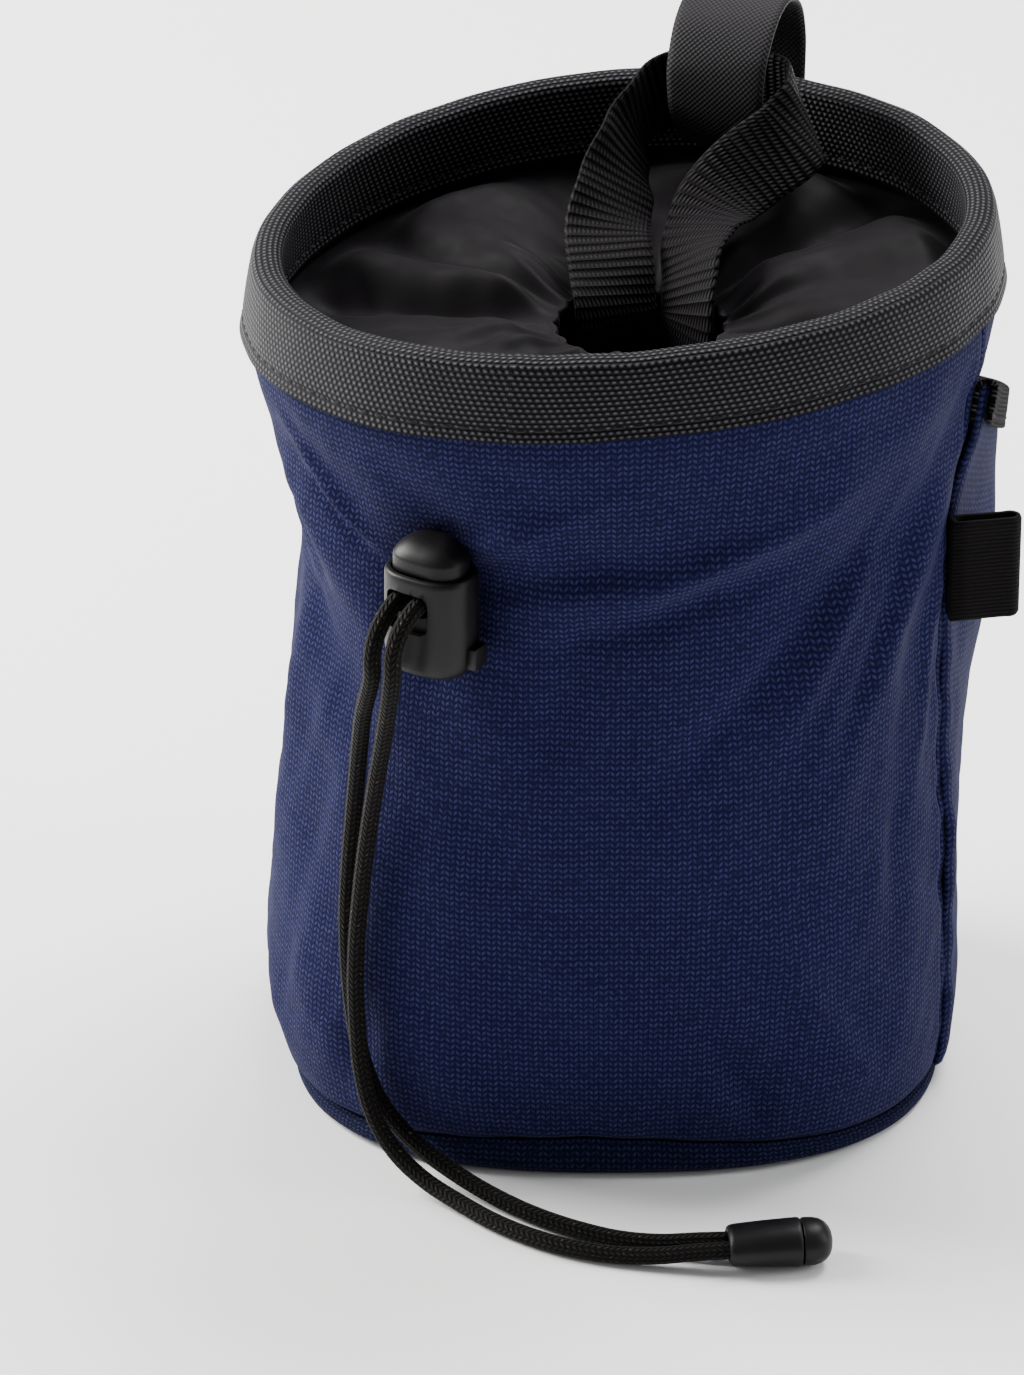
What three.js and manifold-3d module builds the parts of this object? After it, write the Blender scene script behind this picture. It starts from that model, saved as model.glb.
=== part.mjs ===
// A climbing chalk bag: a round cloth bag that stands on its base, with a bound rim, a gathered
// collar that a cord and a cord lock draw shut, a hanging loop, a waist belt, a rear pocket and an
// elastic brush loop.
// Millimetres, +Z up, origin on the floor under the middle of the base. The front faces -Y.
// Angles are degrees round the bag from the front towards +X.
import * as THREE from 'three';
import { mergeVertices } from 'three/addons/utils/BufferGeometryUtils.js';
import Module from 'manifold-3d';

const wasm = await Module();
wasm.setup();

// Driving sizes of the bag's body
const bagHeight = 169;
const rimRadius = 66;
const shellWall = 1.2;
const gap = 0.3;
const seamAngle = 90;

// The rim leans a little, is wider than deep and sags at its two sides
const rimLean = 4.6;
const rimLeanAngle = 108;
const rimSag = 2.5;
const ovalTurn = 18;
const rimDeepShare = 0.975;
const rimWideShare = 0.995;
const rimFlare = 2.4;

// Webbings and thin cloth
const bindingDepth = 15;
const bindingWall = 1.2;
const collarWall = 1.0;
const baseWall = 1.6;
const baseLift = 8;

// Collar
const holeAcross = 3.5;
const holeBack = -1;
const holeRadius = 15;
const holeDrop = 22;
const neckDepth = 15;
const neckFlare = 2.5;
const collarCrown = 2;
const holeHeight = bagHeight - holeDrop;

// Hanging loop and waist belt
const loopWidth = 19;
const loopWall = 1.2;
const beltWidth = 15.5;
const beltWall = 1.2;

// Rear pocket and its bound edge
const pocketDrop = 56;
const pocketRise = 31;
const pocketWall = 1.2;
const pocketGape = 9.5;
const pocketHeld = 0.34;
const pocketEase = 36;
const pocketBindingDepth = 7.5;
const pocketBindingWall = 1.0;
const pocketBindingGap = 0.4;
const pocketEnd = 1.4;
const layerGap = 0.6;

// Brush loop
const brushHeight = 19.5;
const brushLow = 98;
const brushReach = 13;
const brushWall = 1.0;
const brushSlit = 2;
const brushSweep = 29;
const brushForward = 1.8;

// Cord lock and cord
const lockAngle = -14.5;
const lockLow = 104.7;
const lockHeight = 19.5;
const lockHalfWide = 8.2;
const lockHalfDeep = 6.5;
const lockWall = 1.1;
const lockFloor = 4;
const lockSquare = 2.6;
const buttonPlay = 0.3;
const buttonTravel = 2.5;
const buttonProud = 2.8;
const buttonDome = 3;
const cordDiameter = 3.2;
const windowShift = -1.3;
const windowWide = 9;
const windowLow = 9;
const windowTall = 7.6;
const cordPlay = 0.4;
const cordHeight = lockLow + windowLow + windowTall - cordPlay - cordDiameter / 2;
const eyeletRise = 1.6;

// Cord end
const bellLength = 13;
const capLength = 5.4;
const bellHalfWide = 4.9;
const bellHalfTall = 4.25;
const bellTurn = 23.8;
const bellBoreDepth = 7;

// Outline of the shell. Each row is a height as a share of the bag's height and the radius at the
// front, right, back and left as shares of the rim's own, and how square the ring is (2 is round).
const outline = [
  { up: 0.00, front: 0.793, right: 0.882, back: 0.871, left: 0.877, square: 2.6 },
  { up: 0.04, front: 0.830, right: 0.907, back: 0.914, left: 0.937, square: 2.55 },
  { up: 0.12, front: 0.872, right: 0.917, back: 0.956, left: 0.977, square: 2.45 },
  { up: 0.30, front: 0.898, right: 0.907, back: 0.977, left: 0.947, square: 2.3 },
  { up: 0.50, front: 0.903, right: 0.887, back: 0.966, left: 0.897, square: 2.2 },
  { up: 0.66, front: 0.914, right: 0.897, back: 0.956, left: 0.872, square: 2.1 },
  { up: 0.80, front: 0.956, right: 0.942, back: 0.971, left: 0.927, square: 2.05 },
  { up: 0.90, front: 1.000, right: 1.000, back: 1.000, left: 1.000, square: 2 },
  { up: 1.00, front: 1.000, right: 1.000, back: 1.000, left: 1.000, square: 2 },
];

// Dents (minus) and folds (plus) of the shell: where the middle lies, how the fold is turned from
// level, and its length, width and depth as shares of the rim radius
const shellFolds = [
  { angle: -15, up: 0.71, turn: 90, length: 0.24, width: 0.17, depth: -0.075 },
  { angle: -47, up: 0.735, turn: -38, length: 0.42, width: 0.085, depth: 0.035 },
  { angle: -50, up: 0.62, turn: -38, length: 0.42, width: 0.14, depth: -0.030 },
  { angle: 12, up: 0.745, turn: 12, length: 0.42, width: 0.09, depth: -0.035 },
  { angle: 48, up: 0.80, turn: 15, length: 0.55, width: 0.10, depth: 0.020 },
  { angle: 60, up: 0.70, turn: 18, length: 0.30, width: 0.10, depth: -0.030 },
  { angle: 78, up: 0.68, turn: 52, length: 0.40, width: 0.09, depth: 0.035 },
  { angle: 62, up: 0.50, turn: 60, length: 0.45, width: 0.12, depth: 0.018 },
];

// Folds of the collar that run from the rim to the hole: the angle at each end, the half width in
// degrees and the height as a share of the rim radius
const collarFolds = [
  { rim: -55, hole: -50, half: 16, height: 0.038 },
  { rim: -86, hole: -80, half: 7, height: -0.070 },
  { rim: -98, hole: -88, half: 8, height: 0.038 },
  { rim: -109, hole: -100, half: 5, height: -0.038 },
  { rim: -131, hole: -100, half: 15, height: 0.060 },
  { rim: -158, hole: -140, half: 9, height: -0.045 },
  { rim: 175, hole: 175, half: 12, height: 0.030 },
  { rim: 158, hole: 155, half: 10, height: 0.045 },
  { rim: 141, hole: 147, half: 6, height: -0.060 },
  { rim: 120, hole: 128, half: 15, height: 0.060 },
  { rim: 88, hole: 90, half: 7, height: -0.045 },
  { rim: 62, hole: 60, half: 13, height: 0.045 },
  { rim: 35, hole: 35, half: 7, height: -0.045 },
  { rim: 8, hole: 8, half: 13, height: 0.038 },
  { rim: -22, hole: -20, half: 8, height: -0.045 },
];

// Middle line of the hanging loop, from its outer end over the rim to its inner end. Lengths are
// shares of the rim radius: across from the middle, out from the rim's outer face, and above the
// rim's top. The turn rolls the webbing about its own line.
const loopRoute = [
  { across: 0.076, out: 0.014, over: -0.36, turn: 0 },
  { across: 0.076, out: 0.014, over: -0.17, turn: 0 },
  { across: 0.076, out: 0.020, over: -0.02, turn: 0 },
  { across: 0.076, out: 0.022, over: 0.11, turn: 0 },
  { across: 0.076, out: -0.030, over: 0.22, turn: 0 },
  { across: 0.076, out: -0.150, over: 0.28, turn: 0 },
  { across: 0.076, out: -0.280, over: 0.25, turn: 2 },
  { across: 0.076, out: -0.370, over: 0.15, turn: 6 },
  { across: 0.078, out: -0.385, over: 0.03, turn: 10 },
  { across: 0.082, out: -0.340, over: -0.08, turn: 12 },
  { across: 0.086, out: -0.250, over: -0.145, turn: 8 },
  { across: 0.088, out: -0.160, over: -0.165, turn: 2 },
  { across: 0.088, out: -0.105, over: -0.190, turn: 0 },
];

// Middle line of the waist belt, from one end inside the bag through the hanging loop and down
// again. Lengths are shares of the rim radius: across and back from the middle, and above the hole.
// The webbing faces the angle round the bag and the tilt above level that each row gives.
const beltRoute = [
  { across: -0.048, back: 0.112, over: -0.427, angle: 38, tilt: 0 },
  { across: -0.042, back: 0.098, over: -0.177, angle: 38, tilt: 0 },
  { across: -0.047, back: 0.090, over: -0.017, angle: 38, tilt: 4 },
  { across: -0.085, back: 0.165, over: 0.078, angle: 24, tilt: 24 },
  { across: -0.125, back: 0.260, over: 0.133, angle: 20, tilt: 32 },
  { across: -0.142, back: 0.390, over: 0.198, angle: 44, tilt: 30 },
  { across: -0.158, back: 0.540, over: 0.268, angle: 74, tilt: 18 },
  { across: -0.162, back: 0.660, over: 0.318, angle: 98, tilt: 6 },
  { across: -0.110, back: 0.750, over: 0.353, angle: 60, tilt: 0 },
  { across: 0.000, back: 0.785, over: 0.368, angle: 6, tilt: 0 },
  { across: 0.110, back: 0.785, over: 0.378, angle: -6, tilt: 0 },
  { across: 0.235, back: 0.750, over: 0.383, angle: -50, tilt: -4 },
  { across: 0.308, back: 0.665, over: 0.378, angle: -96, tilt: -16 },
  { across: 0.306, back: 0.560, over: 0.343, angle: -124, tilt: -34 },
  { across: 0.228, back: 0.470, over: 0.288, angle: -155, tilt: -36 },
  { across: 0.160, back: 0.395, over: 0.223, angle: -184, tilt: -30 },
  { across: 0.130, back: 0.275, over: 0.158, angle: -203, tilt: -26 },
  { across: 0.140, back: 0.158, over: 0.078, angle: -214, tilt: -14 },
  { across: 0.154, back: 0.092, over: -0.017, angle: -218, tilt: -4 },
  { across: 0.154, back: 0.098, over: -0.177, angle: -218, tilt: 0 },
  { across: 0.154, back: 0.108, over: -0.427, angle: -218, tilt: 0 },
];

// Free strands of the cord, from inside the lock to inside the bell: across, back, up
const strandLeft = [
  [-19.2, -60.0, 119.3], [-19.8, -62.4, 119.3], [-20.9, -65.7, 118.6], [-21.9, -68.5, 116.8],
  [-22.7, -70.5, 113.9], [-23.1, -71.3, 110.5], [-23.3, -70.8, 107.0], [-27.0, -65.0, 96.0],
  [-29.0, -61.2, 88.0], [-30.6, -58.6, 79.0], [-31.9, -57.2, 69.5], [-32.8, -56.8, 60.5],
  [-33.3, -56.9, 51.0], [-33.1, -57.3, 42.5], [-32.4, -57.8, 34.5], [-31.2, -58.5, 27.0],
  [-29.4, -59.0, 20.0], [-26.6, -59.2, 13.8], [-22.8, -59.3, 9.0], [-18.2, -60.0, 5.6],
  [-11.4, -62.2, 3.2], [-3.0, -66.0, 2.2], [6.0, -69.6, 1.9], [14.8, -71.8, 1.8],
  [23.0, -72.8, 1.9], [30.6, -72.6, 2.5], [37.0, -71.9, 3.6], [42.4, -71.0, 4.3],
  [47.0, -68.9, 4.3],
];
const strandRight = [
  [-14.8, -61.1, 119.3], [-15.8, -64.9, 119.3], [-16.9, -68.6, 118.4], [-17.9, -71.7, 116.0],
  [-18.5, -73.4, 112.5], [-18.7, -73.5, 108.5], [-22.0, -68.0, 94.5], [-24.2, -65.2, 85.5],
  [-26.2, -63.2, 76.0], [-27.8, -62.2, 66.5], [-29.0, -61.8, 57.0], [-29.8, -61.9, 47.5],
  [-30.0, -62.2, 39.0], [-29.6, -62.6, 30.5], [-28.8, -63.2, 23.0], [-27.2, -63.8, 16.4],
  [-24.6, -64.4, 10.8], [-20.8, -65.2, 6.4], [-15.4, -66.8, 3.4], [-8.0, -70.0, 2.1],
  [0.6, -74.2, 1.8], [9.4, -77.1, 1.8], [17.4, -78.2, 1.8], [24.6, -77.9, 1.9],
  [31.6, -76.9, 2.5], [38.2, -75.5, 3.6], [43.8, -74.2, 4.3], [48.4, -72.2, 4.3],
];

// Held runs of the cord, from the collar's neck to inside the lock
const heldLeft = [
  [-7.9, -16.0, 137.0], [-9.2, -20.5, 135.2], [-10.6, -26.5, 132.0], [-12.8, -34.0, 128.0],
  [-14.8, -41.5, 124.0], [-16.4, -48.4, 121.2], [-17.7, -54.0, 119.8], [-19.05, -59.4, 119.36],
];
const heldRight = [
  [-2.5, -18.8, 137.0], [-4.0, -23.0, 135.2], [-5.9, -28.4, 132.0], [-8.2, -35.8, 128.0],
  [-10.3, -43.2, 124.0], [-12.0, -49.6, 121.2], [-13.3, -55.2, 119.8], [-14.65, -60.5, 119.36],
];

// Where the bell's small end lies
const bellStart = new THREE.Vector3(43.1, -72.6, bellHalfTall + 0.05);

// How finely the cloth is cut into facets
const ringSteps = 48;
const shellRows = 12;
const loopSteps = 36;
const beltSteps = 60;
const cordStep = 8.5;
const cordSides = 8;

const radians = THREE.MathUtils.degToRad;
const mix = THREE.MathUtils.lerp;
const smooth = THREE.MathUtils.smoothstep;
const vector = (x, y, z) => new THREE.Vector3(x, y, z);

// A point at an angle, a radius and a height
function around(angle, radius, height) {
  return vector(radius * Math.sin(radians(angle)), -radius * Math.cos(radians(angle)), height);
}

// Evenly spaced numbers from first to last
function spaced(first, last, count) {
  return Array.from({ length: count }, (_, i) => mix(first, last, i / (count - 1)));
}

// Smooth curve through one column of the outline that never overshoots its rows
function outlineValue(column, up) {
  const last = outline.length - 2;
  const k = Math.min(last, Math.max(0, outline.findIndex((row) => up < row.up) - 1));
  const row = up >= 1 ? last : k;
  const step = (i) => (outline[i + 1][column] - outline[i][column]) / (outline[i + 1].up - outline[i].up);
  const slope = (i) => {
    if (i === 0 || i > last) {
      return 0;
    }
    const [before, after] = [step(i - 1), step(i)];
    return before * after <= 0 ? 0 : 2 * before * after / (before + after);
  };
  const width = outline[row + 1].up - outline[row].up;
  const t = Math.min(1, (up - outline[row].up) / width);
  const rise = outline[row + 1][column] - outline[row][column];
  const ease = t * t * (3 - 2 * t);
  const bend = width * t * (1 - t) * ((1 - t) * slope(row) - t * slope(row + 1));
  return outline[row][column] + rise * ease + bend;
}

// Radius of a squashed ring at an angle
function ringRadius(angle, front, right, back, left, square) {
  const s = Math.sin(radians(angle - ovalTurn));
  const c = Math.cos(radians(angle - ovalTurn));
  const wide = Math.abs(s) / (s >= 0 ? right : left);
  const deep = Math.abs(c) / (c >= 0 ? front : back);
  return (wide ** square + deep ** square) ** (-1 / square);
}

// Outer radius of the rim, and the height of its top edge
function rimEdge(angle) {
  return rimRadius * ringRadius(angle, rimDeepShare, rimWideShare, rimDeepShare, rimWideShare, 2);
}
function rimTop(angle) {
  const side = Math.sin(radians(angle - ovalTurn)) ** 2;
  const lean = Math.tan(radians(rimLean)) * rimEdge(angle) * Math.cos(radians(angle - rimLeanAngle));
  return bagHeight - rimSag * side + lean;
}

// How far the rim stands out further down, which is most at its two sides
function flare(angle, drop) {
  const side = Math.sin(radians(angle - ovalTurn)) ** 2;
  return rimFlare * side * Math.min(1, drop / bindingDepth);
}

// Depth of all dents and folds at a place on the shell
function foldDepth(angle, up) {
  let depth = 0;
  for (const fold of shellFolds) {
    const turned = ((angle - fold.angle + 540) % 360) - 180;
    const over = radians(turned);
    const rise = (up - fold.up) * rimTop(angle) / rimRadius;
    const along = over * Math.cos(radians(fold.turn)) + rise * Math.sin(radians(fold.turn));
    const across = rise * Math.cos(radians(fold.turn)) - over * Math.sin(radians(fold.turn));
    depth += fold.depth * Math.exp(-((along / fold.length) ** 2) - (across / fold.width) ** 2);
  }
  return depth * rimRadius;
}

// Radius of the shell's outer face, up as a share of the height there
function shellRadius(angle, up) {
  const sides = ['front', 'right', 'back', 'left'].map((side) => outlineValue(side, up));
  const share = ringRadius(angle, ...sides, outlineValue('square', up));
  const drop = (1 - up) * rimTop(angle);
  const held = rimEdge(angle) + flare(angle, drop) - bindingWall - gap;
  return held * share + foldDepth(angle, up);
}
function shellPoint(angle, up, inset = 0) {
  return around(angle, shellRadius(angle, up) - inset, up * rimTop(angle));
}

// Height of the seam between the base and the shell
function seamHeight(angle) {
  const turned = ((angle - 12 + 540) % 360) - 180;
  const front = Math.exp(-((turned / 42) ** 2));
  return mix(0.35, 1, front) * baseLift;
}

// One closed solid through a row of closed sections with the same even number of points
function loft(sections, ring = false) {
  const count = sections[0].length;
  const points = sections.flat();
  const faces = [];
  const spans = ring ? sections.length : sections.length - 1;
  for (let i = 0; i < spans; i += 1) {
    const here = i * count;
    const next = ((i + 1) % sections.length) * count;
    for (let j = 0; j < count; j += 1) {
      const k = (j + 1) % count;
      faces.push(here + j, here + k, next + k, here + j, next + k, next + j);
    }
  }
  if (!ring) {
    const end = (sections.length - 1) * count;
    for (let j = 0; j < count / 2 - 1; j += 1) {
      const [a, b, c, d] = [j, j + 1, count - 2 - j, count - 1 - j];
      faces.push(a, c, b, a, d, c);
      faces.push(end + a, end + b, end + c, end + a, end + c, end + d);
    }
  }
  return outward(points, faces);
}

// A geometry from points and triangles, turned so that its faces point out
function outward(points, faces) {
  let volume = 0;
  for (let i = 0; i < faces.length; i += 3) {
    const [a, b, c] = [points[faces[i]], points[faces[i + 1]], points[faces[i + 2]]];
    volume += a.dot(b.clone().cross(c));
  }
  const index = volume < 0 ? faces.slice().reverse() : faces;
  const geometry = new THREE.BufferGeometry().setFromPoints(points);
  geometry.setIndex(index);
  geometry.computeVertexNormals();
  return geometry;
}

// The faces of a sheet as one section: the outer line, then the inner line backwards
const sheetSection = (outer, inner) => [...outer, ...inner.slice().reverse()];

// A geometry as a solid that can be cut, and back
function toSolid(geometry) {
  const bare = geometry.clone();
  bare.deleteAttribute('normal');
  bare.deleteAttribute('uv');
  const merged = mergeVertices(bare, 1e-4);
  return new wasm.Manifold(new wasm.Mesh({
    numProp: 3,
    vertProperties: new Float32Array(merged.attributes.position.array),
    triVerts: new Uint32Array(merged.index.array),
  }));
}
function fromSolid(solid) {
  const mesh = solid.getMesh();
  const geometry = new THREE.BufferGeometry();
  geometry.setAttribute('position', new THREE.BufferAttribute(mesh.vertProperties, 3));
  geometry.setIndex(new THREE.BufferAttribute(mesh.triVerts, 1));
  geometry.computeVertexNormals();
  return geometry;
}
function cut(geometry, ...tools) {
  return fromSolid(tools.reduce((solid, tool) => solid.subtract(toSolid(tool)), toSolid(geometry)));
}

// A box between two corners
function block(low, high) {
  const size = vector(...high).sub(vector(...low));
  const middle = vector(...high).add(vector(...low)).multiplyScalar(0.5);
  return new THREE.BoxGeometry(size.x, size.y, size.z).translate(middle.x, middle.y, middle.z);
}

// Heights of the shell's rows at an angle, as shares of the height there
function shellHeights(angle) {
  const low = (seamHeight(angle) + gap) / rimTop(angle);
  const high = 1 - (bindingWall + gap) / rimTop(angle);
  return spaced(low, high, shellRows);
}

// One half of the shell, between two angles
function panel(first, last, columns) {
  const seam = gap / 2 / rimRadius * 180 / Math.PI;
  const sections = spaced(first + seam, last - seam, columns).map((angle) => {
    const heights = shellHeights(angle);
    const outer = heights.map((up) => shellPoint(angle, up));
    const inner = heights.map((up) => shellPoint(angle, up, shellWall));
    return sheetSection(outer, inner);
  });
  return loft(sections);
}

// Where the lock's middle stands: its back is clear of the shell behind it
const lockOut = (() => {
  const reach = (low, high) => Math.max(...spaced(low, high, 7).map((z) => (
    shellRadius(lockAngle, z / rimTop(lockAngle)))));
  const barrel = reach(lockLow, lockLow + lockHeight) + lockHalfDeep;
  const button = reach(lockLow + lockHeight, lockLow + lockHeight + buttonProud);
  return gap + Math.max(barrel, button + lockHalfDeep - lockWall - buttonPlay);
})();

// Front half of the shell, with a hole for the cord behind the lock
function frontPanel() {
  const half = cordDiameter / 2 + gap;
  const hole = block(
    [windowShift - windowWide / 2, -lockOut, cordHeight - half],
    [windowShift + windowWide / 2, -lockOut + 4 * lockHalfDeep, cordHeight + half + eyeletRise],
  );
  hole.rotateZ(radians(lockAngle));
  return cut(panel(-seamAngle, seamAngle, ringSteps / 2 + 1), hole);
}

// Rear half of the shell
const rearPanel = () => panel(seamAngle, 360 - seamAngle, ringSteps / 2 + 1);

// Base: a shallow cloth cup with a flat underside
function basePanel() {
  const angles = spaced(0, 360, ringSteps + 1).slice(0, -1);
  const ring = (inset, height) => angles.map((angle) => {
    const up = seamHeight(angle) / rimTop(angle);
    return around(angle, shellRadius(angle, up) - inset, height(angle));
  });
  const edge = 4;
  const share = (k) => (angle) => k * seamHeight(angle);
  return loft([
    ring(edge, () => 0),
    ring(edge / 4, () => 0.7),
    ring(-0.5, share(0.55)),
    ring(0, share(1)),
    ring(baseWall, share(1)),
    ring(baseWall + 0.4, share(0.62)),
    ring(edge + baseWall, () => baseWall),
  ]);
}

// Rim binding: webbing folded over the edge of the shell and the collar
function rimBinding() {
  const inside = 2 * gap + shellWall + collarWall + gap;
  const thick = 2 * bindingWall + inside;
  const round = bindingWall * 0.8;
  const sections = spaced(0, 360, ringSteps + 1).slice(0, -1).map((angle) => {
    const at = (inset, drop) => {
      const radius = rimEdge(angle) + flare(angle, drop) - inset;
      return around(angle, radius, rimTop(angle) - drop);
    };
    const half = bindingDepth / 2;
    return [
      at(0, bindingDepth), at(0, half), at(0, round), at(round, 0),
      at(thick - round, 0), at(thick, round), at(thick, half), at(thick, bindingDepth),
      at(thick - bindingWall, bindingDepth), at(thick - bindingWall, half),
      at(thick - bindingWall, bindingWall), at(bindingWall, bindingWall),
      at(bindingWall, half), at(bindingWall, bindingDepth),
    ];
  });
  return loft(sections, true);
}

// Rise of the collar at an angle, between the rim (0) and the hole (1)
function collarRise(angle, share) {
  let height = 0;
  for (const fold of collarFolds) {
    const middle = mix(fold.rim, fold.hole, share);
    const off = ((angle - middle + 540) % 360) - 180;
    height += fold.height * Math.exp(-((off / fold.half) ** 2));
  }
  const swell = smooth(share, 0.03, 0.25) * (1 - smooth(share, 0.75, 1));
  return (collarCrown + height * rimRadius) * swell;
}

// Collar: thin cloth from the rim in to a gathered hole, and a short neck below it
function collar() {
  const outside = bindingWall + gap + shellWall + gap;
  const sections = spaced(0, 360, ringSteps + 1).slice(0, -1).map((angle) => {
    const radius = rimEdge(angle) - outside;
    const top = rimTop(angle);
    const low = top - bindingDepth - layerGap - collarWall;
    const rim = around(angle, radius + flare(angle, bindingDepth) - gap, low);
    const hole = around(angle, holeRadius, holeHeight).add(vector(holeAcross, holeBack, 0));
    const line = [];
    line.push(around(angle, radius + flare(angle, 3), top - 3));
    line.push(around(angle, radius + flare(angle, bindingDepth), top - bindingDepth + gap));
    line.push(rim);
    for (const share of spaced(0.08, 0.95, 8)) {
      const point = rim.clone().lerp(hole, share);
      point.z += collarRise(angle, share);
      line.push(point);
    }
    line.push(hole.clone().add(vector(0, 0, -collarWall)));
    const foot = around(angle, holeRadius + neckFlare, holeHeight - neckDepth);
    line.push(foot.add(vector(holeAcross, holeBack, 0)));
    const outer = line.map((point, i) => {
      const before = line[Math.max(0, i - 1)];
      const after = line[Math.min(line.length - 1, i + 1)];
      const along = after.clone().sub(before).normalize();
      const round = around(angle + 90, 1, 0);
      const under = along.clone().cross(round).normalize().multiplyScalar(-collarWall);
      return point.clone().add(under);
    });
    return sheetSection(line, outer);
  });
  return loft(sections, true);
}

// Flat webbing along a smooth curve through points; each point has the way its face looks
function webbing(points, faces, width, wall, steps) {
  const curve = new THREE.CatmullRomCurve3(points, false, 'centripetal');
  return loft(spaced(0, 1, steps).map((t) => {
    const place = t * (points.length - 1);
    const k = Math.min(points.length - 2, Math.floor(place));
    const face = faces[k].clone().lerp(faces[k + 1], smooth(place - k, 0, 1));
    const along = curve.getTangent(t).normalize();
    const across = along.clone().cross(face).setLength(width / 2);
    const out = across.clone().cross(along).setLength(wall / 2);
    const middle = curve.getPoint(t);
    const corner = (a, b) => middle.clone().addScaledVector(across, a).addScaledVector(out, b);
    return [corner(-1, 1), corner(1, 1), corner(1, -1), corner(-1, -1)];
  }));
}

// Hanging loop over the back of the rim
function hangLoop() {
  const back = 180;
  const points = loopRoute.map((row) => vector(
    row.across * rimRadius,
    rimEdge(back) + row.out * rimRadius,
    rimTop(back) + row.over * rimRadius,
  ));
  const faces = points.map((point, i) => {
    const before = points[Math.max(0, i - 1)];
    const after = points[Math.min(points.length - 1, i + 1)];
    const along = after.clone().sub(before).normalize();
    const across = vector(1, 0, 0).applyAxisAngle(along, radians(loopRoute[i].turn));
    return across.cross(along);
  });
  return webbing(points, faces, loopWidth, loopWall, loopSteps);
}

// Waist belt through the hanging loop
function waistBelt() {
  const points = beltRoute.map((row) => (
    vector(row.across, row.back, row.over + holeHeight / rimRadius).multiplyScalar(rimRadius)));
  const faces = beltRoute.map((row) => (
    around(row.angle, Math.cos(radians(row.tilt)), Math.sin(radians(row.tilt)))));
  return webbing(points, faces, beltWidth, beltWall, beltSteps);
}

// How far the pocket stands off the shell at an angle and a share of the pocket's height. The bound
// edge holds part of the bulge back.
function pocketStand(angle, share) {
  const end = 180 - seamAngle - Math.abs(angle - 180);
  const edge = (pocketBindingWall + gap) * smooth(share, 0.82, 0.94);
  const bulge = smooth(share, 0.3, 0.78) * (1 - pocketHeld * smooth(share, 0.78, 1));
  return layerGap + edge + pocketGape * smooth(end, 2, pocketEase) * bulge;
}
function pocketTop(angle) {
  return bagHeight - pocketDrop + pocketRise * ((angle - 180) / (180 - seamAngle)) ** 2;
}
function pocketPoint(angle, share, out) {
  const z = mix(seamHeight(angle) + gap, pocketTop(angle), share);
  const radius = shellRadius(angle, z / rimTop(angle)) + pocketStand(angle, share) + out;
  return around(angle, radius, z);
}

// The pocket's columns: its two ends, and the rear panel's columns between them
const pocketAngles = (() => {
  const inner = spaced(seamAngle, 360 - seamAngle, ringSteps / 2 + 1).slice(1, -1);
  return [seamAngle + pocketEnd, ...inner, 360 - seamAngle - pocketEnd];
})();

// Rear pocket: a patch of cloth round the back whose top gapes
function rearPocket() {
  return loft(pocketAngles.map((angle) => {
    const low = seamHeight(angle) + gap;
    const rows = shellHeights(angle).map((up) => up * rimTop(angle)).slice(0, 7);
    const shares = rows.map((z) => (z - low) / (pocketTop(angle) - low));
    const down = pocketBindingDepth / pocketTop(angle);
    shares.push(...spaced(shares.at(-1), 1 - down, 3).slice(1), 1 - down / 2, 1);
    const outer = shares.map((share) => pocketPoint(angle, share, pocketWall));
    const inner = shares.map((share) => pocketPoint(angle, share, 0));
    return sheetSection(outer, inner);
  }));
}

// Webbing folded over the pocket's top edge
function pocketBinding() {
  return loft(pocketAngles.map((angle) => {
    const down = pocketBindingDepth / pocketTop(angle);
    const lid = gap / pocketTop(angle);
    const roof = (gap + pocketBindingWall) / pocketTop(angle);
    const face = pocketWall + pocketBindingGap;
    const inside = -pocketBindingGap;
    const outer = [1 - down, 1 - down / 2, 1, 1 + roof].map((share) => (
      pocketPoint(angle, share, face + pocketBindingWall)));
    const crown = pocketPoint(angle, 1 + roof, inside - pocketBindingWall);
    const innerFace = [1, 1 - down / 2, 1 - down].map((share) => (
      pocketPoint(angle, share, inside - pocketBindingWall)));
    const back = [1 - down, 1 - down / 2, 1, 1 + lid].map((share) => pocketPoint(angle, share, inside));
    const front = [1 + lid, 1, 1 - down / 2, 1 - down].map((share) => pocketPoint(angle, share, face));
    return [...outer, crown, ...innerFace, ...back, ...front];
  }));
}

// Elastic loop for a brush: a flat ring of band that stands out from the side seam
function brushLoop() {
  const half = brushSlit / 2 + brushWall;
  const shape = new THREE.Shape();
  shape.moveTo(0, -half);
  shape.lineTo(brushReach - half, -half);
  shape.absarc(brushReach - half, 0, half, -Math.PI / 2, Math.PI / 2, false);
  shape.lineTo(0, half);
  shape.closePath();
  const slit = new THREE.Path();
  slit.moveTo(brushWall, -brushSlit / 2);
  slit.lineTo(brushReach - half, -brushSlit / 2);
  slit.absarc(brushReach - half, 0, brushSlit / 2, -Math.PI / 2, Math.PI / 2, false);
  slit.lineTo(brushWall, brushSlit / 2);
  slit.closePath();
  shape.holes.push(slit);
  const band = new THREE.ExtrudeGeometry(shape, {
    depth: brushHeight, steps: 2, bevelEnabled: false, curveSegments: 6,
  });
  return band;
}

// One ring of the lock, squarer than an ellipse
function lockRing(halfWide, halfDeep, height, sides = 20) {
  return spaced(0, 2 * Math.PI, sides + 1).slice(0, -1).map((angle) => {
    const [s, c] = [Math.sin(angle), Math.cos(angle)];
    const reach = (Math.abs(s) ** lockSquare + Math.abs(c) ** lockSquare) ** (-1 / lockSquare);
    return vector(halfWide * reach * c, halfDeep * reach * s, height);
  });
}

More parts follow.
